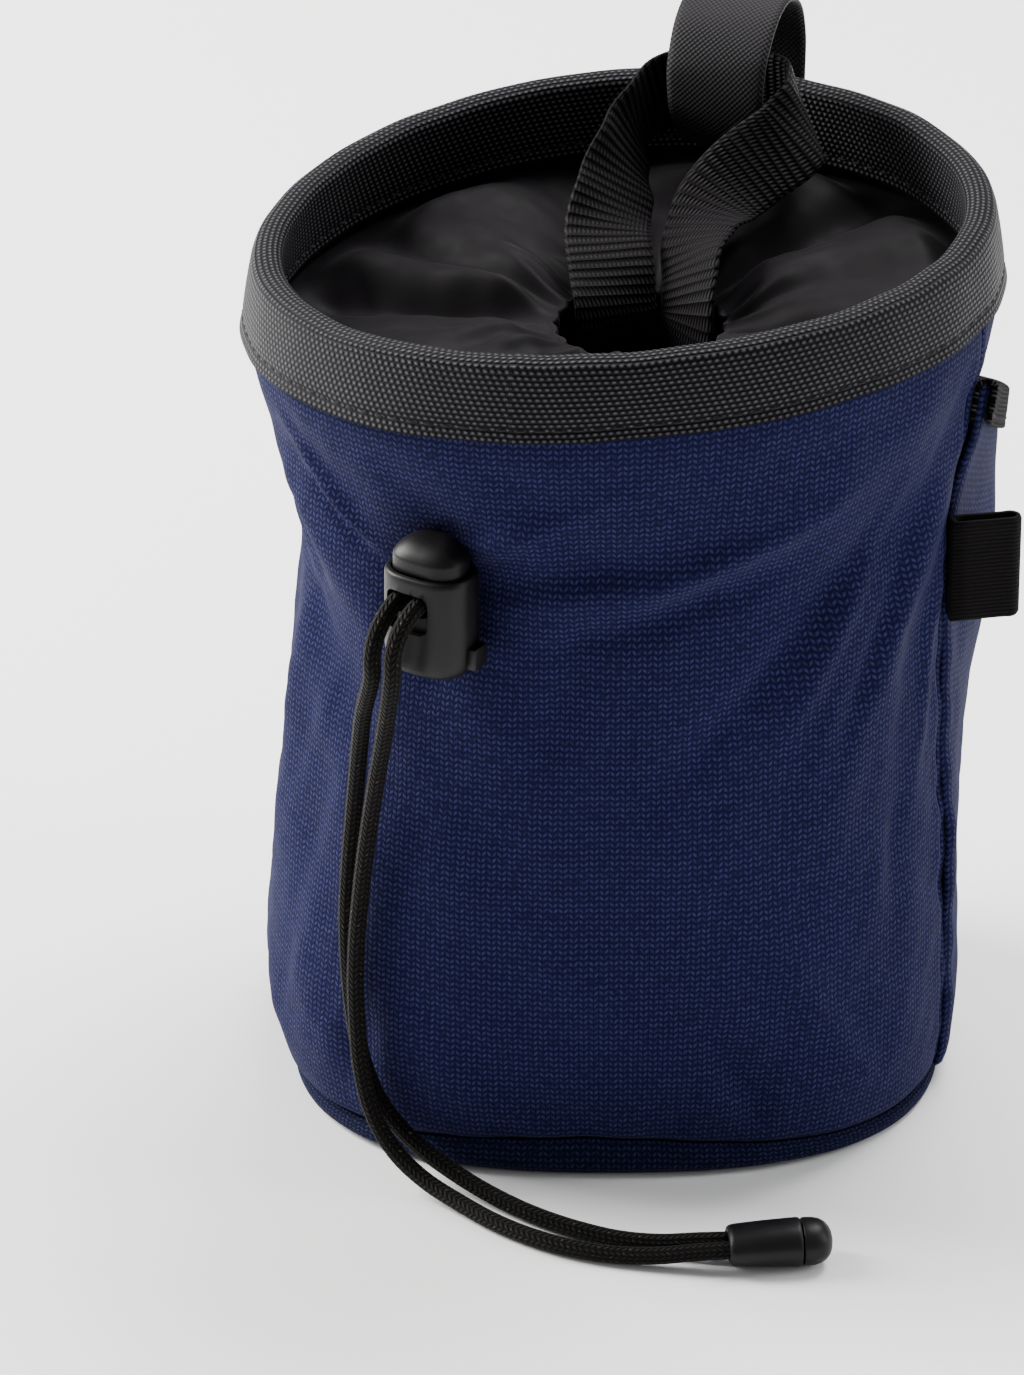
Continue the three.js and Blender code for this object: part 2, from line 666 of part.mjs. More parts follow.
// Barrel of the cord lock, in its own frame: front at -Y, height as in the bag
function lockBody() {
  const top = lockLow + lockHeight;
  const rings = [[2.6, 0], [0.7, 0.8], [0, 2.6]].map(([inset, height]) => (
    lockRing(lockHalfWide - inset, lockHalfDeep - inset, lockLow + height)));
  rings.push(lockRing(lockHalfWide, lockHalfDeep, top - 0.6));
  rings.push(lockRing(lockHalfWide - 0.5, lockHalfDeep - 0.5, top));
  const wellWide = lockHalfWide - lockWall;
  const wellDeep = lockHalfDeep - lockWall;
  const well = loft([
    lockRing(wellWide, wellDeep, lockLow + lockFloor),
    lockRing(wellWide, wellDeep, top + 1),
  ]);
  const low = lockLow + windowLow;
  const left = windowShift - windowWide / 2;
  const right = windowShift + windowWide / 2;
  const front = block([left, -2 * lockHalfDeep, low], [right, 0, low + windowTall]);
  const back = block([left, 0, low], [right, 2 * lockHalfDeep, low + windowTall + 1]);
  const lug = block([lockHalfWide - 1, -1, lockLow + 2], [lockHalfWide + 1.4, 3, lockLow + 6]);
  const barrel = toSolid(loft(rings)).add(toSolid(lug));
  return cut(fromSolid(barrel), well, front, back);
}

// Button of the cord lock: a plunger with a slot for the cord and a domed top
function lockButton() {
  const halfWide = lockHalfWide - lockWall - buttonPlay;
  const halfDeep = lockHalfDeep - lockWall - buttonPlay;
  const low = lockLow + lockFloor + gap + buttonTravel;
  const rim = lockLow + lockHeight + buttonProud;
  const rings = [
    lockRing(halfWide, halfDeep, low),
    lockRing(halfWide, halfDeep, rim),
    lockRing(halfWide - 0.8, halfDeep - 0.8, rim + 0.45 * buttonDome),
    lockRing(halfWide - 2.4, halfDeep - 2.2, rim + 0.85 * buttonDome),
    lockRing(halfWide - 4.4, halfDeep - 3.6, rim + buttonDome),
  ];
  const slotLow = cordHeight - cordDiameter / 2 - gap - 0.9;
  const slotHigh = cordHeight + cordDiameter / 2 + gap + 0.6 + buttonTravel;
  const left = windowShift - windowWide / 2 + gap;
  const right = windowShift + windowWide / 2 - gap;
  const slot = block([left, -lockHalfDeep, slotLow], [right, lockHalfDeep, slotHigh]);
  return cut(loft(rings), slot);
}

// A run of cord along hand-chosen points
function cordRun(points) {
  const curve = new THREE.CatmullRomCurve3(points.map((p) => vector(...p)), false, 'centripetal');
  const shape = new THREE.Shape(spaced(0, 2 * Math.PI, cordSides + 1).slice(0, -1).map((angle) => (
    new THREE.Vector2(Math.cos(angle), Math.sin(angle)).multiplyScalar(cordDiameter / 2))));
  const steps = Math.ceil(curve.getLength() / cordStep * 1.15);
  return new THREE.ExtrudeGeometry(shape, { steps, bevelEnabled: false, extrudePath: curve });
}

// Oval rings along a line, each at a distance and with its half width and half height
function ovalSolid(rows, sides = 16) {
  return loft(rows.map(([along, halfWide, halfTall]) => (
    spaced(0, 2 * Math.PI, sides + 1).slice(0, -1).map((angle) => (
      vector(along, halfWide * Math.cos(angle), halfTall * Math.sin(angle)))))));
}

// Bell that holds both ends of the cord, along +X from its small end
function cordBell() {
  const rows = [[0, 0.90, 0.72], [0.6, 0.94, 0.80], [0.5 * bellLength, 0.98, 0.92], [bellLength, 1, 1]];
  const bell = ovalSolid(rows.map(([along, wide, tall]) => (
    [along, wide * bellHalfWide, tall * bellHalfTall])));
  const boreWide = cordDiameter + gap + 0.2;
  const boreTall = cordDiameter / 2 + gap;
  return cut(bell, block([-1, -boreWide, -boreTall], [bellBoreDepth, boreWide, boreTall]));
}

// Round cap that closes the bell
function cordCap() {
  const rows = [[0, 0.98], [0.35, 1], [0.65, 0.9], [0.88, 0.66], [1, 0.3]];
  return ovalSolid(rows.map(([along, share]) => (
    [along * capLength, share * bellHalfWide * 0.97, share * bellHalfTall * 0.97])));
}

// Finishes
const finish = (color, roughness, metalness = 0) => (
  new THREE.MeshStandardMaterial({ color, roughness, metalness }));
const navyCloth = finish(0x1c2550, 0.85);
const baseCloth = finish(0x171d3e, 0.85);
const charcoalWebbing = finish(0x34363b, 0.8);
const blackWebbing = finish(0x232226, 0.8);
const collarCloth = finish(0x1d1b20, 0.6);
const blackElastic = finish(0x141213, 0.9);
const blackPlastic = finish(0x121112, 0.35);
const blackCord = finish(0x171310, 0.85);

// The bag as a group of named meshes
const bag = new THREE.Group();
function place(parent, name, geometry, material) {
  const mesh = new THREE.Mesh(geometry, material);
  mesh.name = name;
  parent.add(mesh);
  return mesh;
}

place(bag, 'front_panel', frontPanel(), navyCloth);
place(bag, 'rear_panel', rearPanel(), navyCloth);
place(bag, 'base_panel', basePanel(), baseCloth);
place(bag, 'rim_binding', rimBinding(), charcoalWebbing);
place(bag, 'collar', collar(), collarCloth);
place(bag, 'hang_loop', hangLoop(), blackWebbing);
place(bag, 'waist_belt', waistBelt(), blackWebbing);
place(bag, 'rear_pocket', rearPocket(), navyCloth);
place(bag, 'pocket_binding', pocketBinding(), blackWebbing);

// The brush loop starts at the side seam, in front of the pocket
const brush = place(bag, 'brush_loop', brushLoop(), blackElastic);
const brushRoot = Math.max(...spaced(brushLow, brushLow + brushHeight, 5).map((z) => (
  shellRadius(seamAngle, z / rimTop(seamAngle)))));
brush.position.set(brushRoot + layerGap + brushWall, -brushForward, brushLow);
brush.rotation.z = radians(brushSweep);

// The lock stands in front of its hole in the shell
const lock = new THREE.Group();
lock.position.copy(around(lockAngle, lockOut, 0));
lock.rotation.z = radians(lockAngle);
bag.add(lock);
place(lock, 'cord_lock_body', lockBody(), blackPlastic);
place(lock, 'cord_lock_button', lockButton(), blackPlastic);

place(bag, 'cord_left', cordRun(strandLeft), blackCord);
place(bag, 'cord_right', cordRun(strandRight), blackCord);
place(bag, 'drawcord_left', cordRun(heldLeft), blackCord);
place(bag, 'drawcord_right', cordRun(heldRight), blackCord);

// The cord's end lies on the floor
const cordEnd = new THREE.Group();
cordEnd.position.copy(bellStart);
cordEnd.rotation.z = radians(bellTurn);
bag.add(cordEnd);
place(cordEnd, 'cord_end_bell', cordBell(), blackPlastic);
place(cordEnd, 'cord_end_cap', cordCap(), blackPlastic).position.x = bellLength + gap;

export default bag;
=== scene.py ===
# A climbing chalk bag on a pale floor: round cloth bag with a bound rim, a gathered collar, a cord
# with a lock, a hanging loop, a waist belt, a rear pocket and an elastic brush loop.
# The tables are in millimetres, and the meshes are in metres. Angles are degrees round the bag
# from the front (-Y) towards +X.
import math

import bpy
import numpy as np
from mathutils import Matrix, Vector


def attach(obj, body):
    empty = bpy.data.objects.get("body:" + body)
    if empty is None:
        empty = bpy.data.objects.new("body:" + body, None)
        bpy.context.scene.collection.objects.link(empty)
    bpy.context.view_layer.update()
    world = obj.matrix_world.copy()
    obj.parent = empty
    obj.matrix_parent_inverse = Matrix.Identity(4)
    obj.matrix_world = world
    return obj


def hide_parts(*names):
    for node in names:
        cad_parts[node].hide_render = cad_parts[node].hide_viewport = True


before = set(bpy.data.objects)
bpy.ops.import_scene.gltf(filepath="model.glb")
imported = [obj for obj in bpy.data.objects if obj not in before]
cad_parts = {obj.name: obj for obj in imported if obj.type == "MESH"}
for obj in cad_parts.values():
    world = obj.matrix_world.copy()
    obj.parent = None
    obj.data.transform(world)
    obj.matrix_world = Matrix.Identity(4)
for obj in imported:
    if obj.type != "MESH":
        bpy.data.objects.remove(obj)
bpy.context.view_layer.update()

MM = 0.001
BAG = "bag"
BUTTON = "lock_button"

# Sizes of the bag's body
BAG_HEIGHT = 169.0
RIM_RADIUS = 66.0
SHELL_WALL = 1.2
GAP = 0.3
OVAL_TURN = 18.0
BINDING_DEPTH = 15.0
BINDING_WALL = 1.2
COLLAR_WALL = 1.0
BASE_LIFT = 8.0
BASE_FACE = 12
LAYER_GAP = 0.6

# The rim leans a little, is wider than deep and sags and flares at its two sides
RIM_LEAN = 4.6
RIM_LEAN_ANGLE = 108
RIM_SAG = 2.5
RIM_FLARE = 2.4
RIM_DEEP = 0.975
RIM_WIDE = 0.995

# Gathered hole of the collar and the side seams of the shell
HOLE_RADIUS = 15.0
HOLE_HEIGHT = 147.0
HOLE_MIDDLE = np.array([3.5, -1.0, 0])
NECK_DEPTH = 15
SEAMS = (90, 270)

# Outline of the shell: height share, radius shares at the front, right, back and left, squareness
OUTLINE = np.array([
    [0.00, 0.793, 0.882, 0.871, 0.877, 2.60],
    [0.04, 0.830, 0.907, 0.914, 0.937, 2.55],
    [0.12, 0.872, 0.917, 0.956, 0.977, 2.45],
    [0.30, 0.898, 0.907, 0.977, 0.947, 2.30],
    [0.50, 0.903, 0.887, 0.966, 0.897, 2.20],
    [0.66, 0.914, 0.897, 0.956, 0.872, 2.10],
    [0.80, 0.956, 0.942, 0.971, 0.927, 2.05],
    [0.90, 1.000, 1.000, 1.000, 1.000, 2.00],
    [1.00, 1.000, 1.000, 1.000, 1.000, 2.00],
])

# Dents and folds of the shell: angle, height share, turn, then length, width and depth as shares of
# the rim radius
SHELL_FOLDS = [
    (-15, 0.710, 90, 0.24, 0.170, -0.075),
    (-47, 0.735, -38, 0.42, 0.085, 0.035),
    (-50, 0.620, -38, 0.42, 0.140, -0.030),
    (12, 0.745, 12, 0.42, 0.090, -0.035),
    (48, 0.800, 15, 0.55, 0.100, 0.020),
    (60, 0.700, 18, 0.30, 0.100, -0.030),
    (78, 0.680, 52, 0.40, 0.090, 0.035),
    (62, 0.500, 60, 0.45, 0.120, 0.018),
]
# The cloth's finer creases, in the same columns
CREASES = [
    (-38, 0.790, -42, 0.24, 0.035, 0.029), (-34, 0.750, -30, 0.20, 0.030, -0.029),
    (-2, 0.780, 24, 0.26, 0.040, 0.029), (10, 0.715, 10, 0.30, 0.045, 0.020),
    (35, 0.745, 18, 0.34, 0.045, 0.029), (28, 0.690, 14, 0.36, 0.050, -0.026),
    (66, 0.600, 62, 0.30, 0.045, -0.032), (58, 0.640, 55, 0.34, 0.050, 0.026),
    (84, 0.560, 78, 0.30, 0.040, 0.023), (44, 0.600, 42, 0.34, 0.060, -0.029),
    (-72, 0.780, -30, 0.22, 0.050, -0.029), (-62, 0.690, -30, 0.28, 0.050, 0.023),
    (8, 0.600, 70, 0.28, 0.070, -0.023), (-60, 0.450, 80, 0.42, 0.090, 0.023),
    (-46, 0.350, 75, 0.36, 0.080, -0.020), (-30, 0.140, 70, 0.22, 0.055, -0.017),
    (40, 0.120, -62, 0.26, 0.060, -0.032), (54, 0.190, -55, 0.34, 0.060, 0.023),
    (30, 0.330, -72, 0.40, 0.090, 0.014), (72, 0.340, 84, 0.40, 0.060, -0.020),
]

# Folds of the collar: angle at the rim and at the hole, half width in degrees, height share
COLLAR_FOLDS = [
    (-55, -50, 16, 0.038), (-86, -80, 7, -0.070), (-98, -88, 8, 0.038), (-109, -100, 5, -0.038),
    (-131, -100, 15, 0.060), (-158, -140, 9, -0.045), (175, 175, 12, 0.030), (158, 155, 10, 0.045),
    (141, 147, 6, -0.060), (120, 128, 15, 0.060), (88, 90, 7, -0.045), (62, 60, 13, 0.045),
    (35, 35, 7, -0.045), (8, 8, 13, 0.038), (-22, -20, 8, -0.045),
]

# Free strands of the cord, from inside the lock to inside the bell
STRAND_LEFT = [
    (-19.2, -60.0, 119.3), (-19.8, -62.4, 119.3), (-20.9, -65.7, 118.6), (-21.9, -68.5, 116.8),
    (-22.7, -70.5, 113.9), (-23.1, -71.3, 110.5), (-23.3, -70.8, 107.0), (-27.0, -65.0, 96.0),
    (-29.0, -61.2, 88.0), (-30.6, -58.6, 79.0), (-31.9, -57.2, 69.5), (-32.8, -56.8, 60.5),
    (-33.3, -56.9, 51.0), (-33.1, -57.3, 42.5), (-32.4, -57.8, 34.5), (-31.2, -58.5, 27.0),
    (-29.4, -59.0, 20.0), (-26.6, -59.2, 13.8), (-22.8, -59.3, 9.0), (-18.2, -60.0, 5.6),
    (-11.4, -62.2, 3.2), (-3.0, -66.0, 2.2), (6.0, -69.6, 1.9), (14.8, -71.8, 1.8),
    (23.0, -72.8, 1.9), (30.6, -72.6, 2.5), (37.0, -71.9, 3.6), (42.4, -71.0, 4.3),
    (47.0, -68.9, 4.3),
]
STRAND_RIGHT = [
    (-14.8, -61.1, 119.3), (-15.8, -64.9, 119.3), (-16.9, -68.6, 118.4), (-17.9, -71.7, 116.0),
    (-18.5, -73.4, 112.5), (-18.7, -73.5, 108.5), (-22.0, -68.0, 94.5), (-24.2, -65.2, 85.5),
    (-26.2, -63.2, 76.0), (-27.8, -62.2, 66.5), (-29.0, -61.8, 57.0), (-29.8, -61.9, 47.5),
    (-30.0, -62.2, 39.0), (-29.6, -62.6, 30.5), (-28.8, -63.2, 23.0), (-27.2, -63.8, 16.4),
    (-24.6, -64.4, 10.8), (-20.8, -65.2, 6.4), (-15.4, -66.8, 3.4), (-8.0, -70.0, 2.1),
    (0.6, -74.2, 1.8), (9.4, -77.1, 1.8), (17.4, -78.2, 1.8), (24.6, -77.9, 1.9),
    (31.6, -76.9, 2.5), (38.2, -75.5, 3.6), (43.8, -74.2, 4.3), (48.4, -72.2, 4.3),
]
# Held runs of the cord, from the collar's neck to inside the lock
HELD_LEFT = [
    (-7.9, -16.0, 137.0), (-9.2, -20.5, 135.2), (-10.6, -26.5, 132.0), (-12.8, -34.0, 128.0),
    (-14.8, -41.5, 124.0), (-16.4, -48.4, 121.2), (-17.7, -54.0, 119.8), (-19.05, -59.4, 119.36),
]
HELD_RIGHT = [
    (-2.5, -18.8, 137.0), (-4.0, -23.0, 135.2), (-5.9, -28.4, 132.0), (-8.2, -35.8, 128.0),
    (-10.3, -43.2, 124.0), (-12.0, -49.6, 121.2), (-13.3, -55.2, 119.8), (-14.65, -60.5, 119.36),
]
CORD = 3.2


# Camera at the photograph's angle: the place it looks at is left of the bag's middle
CAMERA_TURN = math.radians(18.0)
CAMERA_RISE = math.radians(27.5)
CAMERA_DISTANCE = 1.4
CAMERA_LENS = 200.5
LOOKS_LEFT = 19.7
LOOKS_UP = 73.0


def aimed(name, data, place, facing):
    """A camera or lamp at a place in metres, turned to face a direction."""
    item = bpy.data.objects.new(name, data)
    bpy.context.scene.collection.objects.link(item)
    item.location = place
    item.rotation_mode = "QUATERNION"
    item.rotation_quaternion = facing.to_track_quat("-Z", "Y")
    return item


def camera():
    data = bpy.data.cameras.new("camera")
    data.lens = CAMERA_LENS
    data.sensor_width = 36
    data.clip_start = 0.05
    data.clip_end = 20
    across = math.cos(CAMERA_TURN)
    aside = math.sin(CAMERA_TURN)
    level = math.cos(CAMERA_RISE)
    back = Vector((aside * level, -across * level, math.sin(CAMERA_RISE)))
    target = Vector((-LOOKS_LEFT * across, -LOOKS_LEFT * aside, LOOKS_UP)) * MM
    bpy.context.scene.camera = aimed("camera", data, target + back * CAMERA_DISTANCE, -back)


# Small numeric helpers
def smooth(x, low, high):
    t = np.clip((x - low) / (high - low), 0, 1)
    return t * t * (3 - 2 * t)


def bell(x, width):
    return np.exp(-((x / width) ** 2))


def wrap(angle):
    return (np.asarray(angle) + 540.0) % 360.0 - 180.0


def around(angle, radius, height):
    turn = np.radians(angle)
    return np.stack([radius * np.sin(turn), -radius * np.cos(turn), height + 0 * radius * turn], -1)


def waves(x, y, seed, low, high, count):
    """Sum of a few seeded waves over a surface, lengths in millimetres, about -1 to 1."""
    pick = np.random.default_rng(seed)
    total = 0
    for _ in range(count):
        length = pick.uniform(low, high)
        turn = pick.uniform(0, 2 * math.pi)
        phase = pick.uniform(0, 2 * math.pi)
        total = total + np.sin(2 * math.pi * (x * math.cos(turn) + y * math.sin(turn)) / length + phase)
    return total / math.sqrt(count * 2)


def catmull(points, steps):
    """Smooth curve through points, centripetal, with a number of steps for each span."""
    p = np.array(points, float)
    p = np.vstack([2 * p[0] - p[1], p, 2 * p[-1] - p[-2]])
    out = []
    for k in range(1, len(p) - 2):
        p0, p1, p2, p3 = p[k - 1:k + 3]
        d0, d1, d2 = [math.sqrt(max(1e-6, np.linalg.norm(b - a))) for a, b in ((p0, p1), (p1, p2), (p2, p3))]
        t1 = ((p1 - p0) / d0 - (p2 - p0) / (d0 + d1) + (p2 - p1) / d1) * d1
        t2 = ((p2 - p1) / d1 - (p3 - p1) / (d1 + d2) + (p3 - p2) / d2) * d1
        t = (np.arange(steps) / steps)[:, None]
        out.append((2 * t**3 - 3 * t**2 + 1) * p1 + (t**3 - 2 * t**2 + t) * t1
                   + (3 * t**2 - 2 * t**3) * p2 + (t**3 - t**2) * t2)
    out.append(p[-2][None])
    return np.vstack(out)


def unit(v):
    return v / np.maximum(1e-9, np.linalg.norm(v, axis=-1, keepdims=True))


def travel_along(line):
    """Distance along a line of points, from 0 at its first."""
    return np.concatenate([[0], np.cumsum(np.linalg.norm(np.diff(line, axis=0), axis=1))])


def pairs(rows, columns):
    """Every pair of a row value and a column value, as a grid of texture places."""
    return np.stack(np.meshgrid(rows, columns, indexing="ij"), -1)


def swung(points, degrees):
    """Points turned about the upright axis."""
    c = math.cos(math.radians(degrees))
    s = math.sin(math.radians(degrees))
    x = points[..., 0]
    y = points[..., 1]
    return np.stack([x * c - y * s, x * s + y * c, points[..., 2]], -1)


def arc(angle):
    return np.radians(angle) * RIM_RADIUS


# Shape of the shell and the rim
def column(index, up):
    y = OUTLINE[:, index]
    x = OUTLINE[:, 0]
    h = np.diff(x)
    d = np.diff(y) / h
    m = np.zeros(len(x))
    for i in range(1, len(x) - 1):
        if d[i - 1] * d[i] > 0:
            m[i] = 2 * d[i - 1] * d[i] / (d[i - 1] + d[i])
    k = np.clip(np.searchsorted(x, up, side="right") - 1, 0, len(x) - 2)
    t = np.clip((up - x[k]) / h[k], 0, 1)
    ease = t * t * (3 - 2 * t)
    return y[k] + (y[k + 1] - y[k]) * ease + h[k] * t * (1 - t) * ((1 - t) * m[k] - t * m[k + 1])


def ring_radius(angle, front, right, back, left, square):
    s = np.sin(np.radians(angle - OVAL_TURN))
    c = np.cos(np.radians(angle - OVAL_TURN))
    wide = np.abs(s) / np.where(s >= 0, right, left)
    deep = np.abs(c) / np.where(c >= 0, front, back)
    return (wide ** square + deep ** square) ** (-1 / square)


def rim_edge(angle):
    return RIM_RADIUS * ring_radius(angle, RIM_DEEP, RIM_WIDE, RIM_DEEP, RIM_WIDE, 2.0)


def rim_top(angle):
    side = np.sin(np.radians(angle - OVAL_TURN)) ** 2
    lean = math.tan(math.radians(RIM_LEAN)) * rim_edge(angle) * np.cos(np.radians(angle - RIM_LEAN_ANGLE))
    return BAG_HEIGHT - RIM_SAG * side + lean


def flare(angle, drop):
    side = np.sin(np.radians(angle - OVAL_TURN)) ** 2
    return RIM_FLARE * side * np.minimum(1, drop / BINDING_DEPTH)


def fold_depth(angle, up, folds):
    depth = 0
    for a, u, turn, length, width, amount in folds:
        over = np.radians(wrap(angle - a))
        rise = (up - u) * rim_top(angle) / RIM_RADIUS
        c = math.cos(math.radians(turn))
        s = math.sin(math.radians(turn))
        along = over * c + rise * s
        across = rise * c - over * s
        depth = depth + amount * np.exp(-((along / length) ** 2) - (across / width) ** 2)
    return depth * RIM_RADIUS


def shell_radius(angle, up):
    share = ring_radius(angle, *[column(i, up) for i in range(1, 6)])
    held = rim_edge(angle) + flare(angle, (1 - up) * rim_top(angle)) - BINDING_WALL - GAP
    return held * share + fold_depth(angle, up, SHELL_FOLDS)


def seam_height(angle):
    front = bell(wrap(angle - BASE_FACE), 42)
    return (0.35 + 0.65 * front) * BASE_LIFT


# Meshes
def mesh_object(name, points, faces, loop_uvs, material, body=BAG):
    mesh = bpy.data.meshes.new(name)
    mesh.from_pydata((np.asarray(points) * MM).tolist(), [], faces)
    layer = mesh.uv_layers.new(name="mm")
    layer.data.foreach_set("uv", np.asarray(loop_uvs, dtype=np.float32).ravel())
    mesh.polygons.foreach_set("use_smooth", [True] * len(mesh.polygons))
    mesh.materials.append(material)
    mesh.update()
    piece = bpy.data.objects.new(name, mesh)
    bpy.context.scene.collection.objects.link(piece)
    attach(piece, body)
    return piece


def grid(name, points, uv, material, close_j=False, caps=False, body=BAG, flip=False):
    """A surface from an array of points, i by j, with the texture place of each in millimetres."""
    n, m = points.shape[:2]
    i, j = np.mgrid[0:n - 1, 0:m if close_j else m - 1]
    i = i.ravel()
    j = j.ravel()
    j1 = (j + 1) % m
    order = [(i, j), (i + 1, j), (i + 1, j1), (i, j1)]
    uv_order = [(i, j), (i + 1, j), (i + 1, j + 1), (i, j + 1)]
    if flip:
        order = order[::-1]
        uv_order = uv_order[::-1]
    faces = np.stack([a * m + b for a, b in order], 1).tolist()
    loop_uvs = np.stack([uv[a, b] for a, b in uv_order], 1).reshape(-1, 2).tolist()
    if caps:
        ends = [list(range(m)), [(n - 1) * m + k for k in range(m - 1, -1, -1)]]
        if flip:
            ends = [end[::-1] for end in ends]
        for end in ends:
            faces.append(end)
            loop_uvs += [[0, 0]] * m
    return mesh_object(name, points.reshape(-1, 3), faces, loop_uvs, material, body)


def thicken(piece, wall):
    mod = piece.modifiers.new("wall", "SOLIDIFY")
    mod.thickness = wall * MM
    mod.offset = -1


# Materials, built from nodes
class Graph:
    def __init__(self, name, rough, sheen=0.0, sheen_rough=0.5, specular=0.5):
        self.material = bpy.data.materials.new(name)
        self.material.use_nodes = True
        self.tree = self.material.node_tree
        self.tree.nodes.clear()
        self.shader = self.node("BsdfPrincipled")
        for socket, value in (("Roughness", rough), ("Sheen Weight", sheen), ("Sheen Roughness", sheen_rough),
                              ("Specular IOR Level", specular)):
            self.shader.inputs[socket].default_value = value
        self.link(self.shader.outputs[0], self.node("OutputMaterial").inputs["Surface"])
        uv = self.node("UVMap")
        uv.uv_map = "mm"
        split = self.node("SeparateXYZ")
        self.link(uv.outputs[0], split.inputs[0])
        self.uv = uv.outputs[0]
        self.u = split.outputs[0]
        self.v = split.outputs[1]

    def node(self, kind):
        return self.tree.nodes.new("ShaderNode" + kind)

    def link(self, source, socket):
        self.tree.links.new(source, socket)

    def put(self, socket, value):
        if isinstance(value, bpy.types.NodeSocket):
            self.link(value, socket)
        else:
            socket.default_value = value

    def filled(self, node, *values):
        for socket, value in zip(node.inputs, values):
            self.put(socket, value)
        return node.outputs[0]

    def do(self, operation, a, b=0.0, c=0.0):
        node = self.node("Math")
        node.operation = operation
        return self.filled(node, a, b, c)

    def add(self, a, b):
        return self.do("ADD", a, b)

    def times(self, a, b):
        return self.do("MULTIPLY", a, b)

    def rise(self, value, low, span):
        """A low value and, on it, a span times the value."""
        return self.add(low, self.times(value, span))

    def wave(self, value, pitch):
        """0 to 1 and back once for each pitch, highest half way."""
        turn = self.times(value, math.pi / pitch)
        return self.do("POWER", self.do("ABSOLUTE", self.do("SINE", turn)), 2.0)

    def check(self, pitch):
        """Chequered weave from 0 to 1."""
        a = self.do("SINE", self.times(self.u, 2 * math.pi / pitch))
        b = self.do("SINE", self.times(self.v, 2 * math.pi / pitch))
        return self.rise(self.times(a, b), 0.5, 0.5)

    def step(self, value, low, high):
        node = self.node("MapRange")
        node.interpolation_type = "SMOOTHSTEP"
        return self.filled(node, value, low, high)

    def noise(self, scale, detail=3.0, stretch=(1, 1), space="mm"):
        """Smooth noise from 0 to 1. The scale is per millimetre."""
        node = self.node("TexNoise")
        node.inputs["Scale"].default_value = scale if space == "mm" else scale * 1000
        node.inputs["Detail"].default_value = detail
        mapping = self.node("Mapping")
        mapping.inputs["Scale"].default_value = (*stretch, 1)
        if space == "mm":
            source = self.uv
        else:
            source = self.node("TexCoord").outputs["Object"]
        self.link(source, mapping.inputs[0])
        self.link(mapping.outputs[0], node.inputs["Vector"])
        return node.outputs[0]

    def blend(self, factor, dark, light):
        node = self.node("Mix")
        node.data_type = "RGBA"
        self.put(node.inputs[0], factor)
        for socket, value in ((node.inputs[6], dark), (node.inputs[7], light)):
            self.put(socket, value if isinstance(value, bpy.types.NodeSocket) else (*value, 1))
        return node.outputs[2]

    def color(self, value, mean):
        self.shader.inputs["Base Color"].default_value = (*mean, 1)
        self.link(value, self.shader.inputs["Base Color"])

    def rough(self, value):
        self.link(value, self.shader.inputs["Roughness"])

    def bump(self, height, depth, strength=1.0):
        """Relief of a depth in millimetres."""
        node = self.node("Bump")
        node.inputs["Strength"].default_value = strength
        node.inputs["Distance"].default_value = depth * MM
        self.link(height, node.inputs["Height"])
        self.link(node.outputs[0], self.shader.inputs["Normal"])


def scaled(color, share):
    return tuple(c * share for c in color)


# Shell cloth: fine upright columns of small slanted light threads on a dark ground
def shell_cloth(name, ground, thread):
    g = Graph(name, 0.8, sheen=0.02, sheen_rough=0.45, specular=0.05)
    lean = g.do("ABSOLUTE", g.do("SUBTRACT", g.do("FRACT", g.do("DIVIDE", g.u, 2.1)), 0.5))
    place = g.rise(lean, g.v, 1.3)
    dash = g.wave(place, 1.2)
    rib = g.wave(g.u, 1.05)
    line = g.times(g.step(dash, 0.05, 0.95), g.step(rib, -0.15, 0.75))
    broken = g.step(g.noise(0.9, 2.0, (1.0, 0.6)), 0.30, 0.62)
    line = g.times(line, g.rise(broken, 0.25, 0.75))
    wide = g.noise(0.035, 2.0)
    shade = g.blend(wide, scaled(ground, 0.8), scaled(ground, 1.25))
    g.color(g.blend(line, shade, thread), tuple((a + b) / 2 for a, b in zip(ground, thread)))
    fine = g.noise(2.2, 2.0)
    height = g.rise(fine, line, 0.4)
    g.bump(height, 0.2, 0.8)
    return g.material


# Webbing with rows of small beads that lean along its length. The beads are the weave's own pattern, but
# their light colour is also painted highlight on the bead tops, and the dark ground is painted shade in the
# gaps between them.
def beaded_webbing(name, ground, bead_with_highlight, row=1.0, along=1.35, lean=0.36, depth=0.32, rough=0.45,
                   specular=0.08):
    g = Graph(name, rough, sheen=0.02, sheen_rough=0.4, specular=specular)
    across = g.wave(g.u, row)
    shift = g.times(g.do("FLOOR", g.do("DIVIDE", g.u, row)), lean * along)
    run = g.wave(g.add(g.v, shift), along)
    knot = g.times(g.do("POWER", across, 0.7), g.rise(run, 0.25, 0.75))
    wear = g.noise(0.12, 3.0)
    top = g.blend(wear, scaled(bead_with_highlight, 0.8), scaled(bead_with_highlight, 1.25))
    # Colour follows the bead relief: painted highlight on the bead tops, painted shade in the gaps between
    # them
    g.color(g.blend(g.step(knot, 0.3, 0.95), ground, top), scaled(bead_with_highlight, 0.7))
    g.bump(knot, depth)
    g.rough(g.rise(g.noise(1.5, 2.0), rough, 0.2))
    return g.material


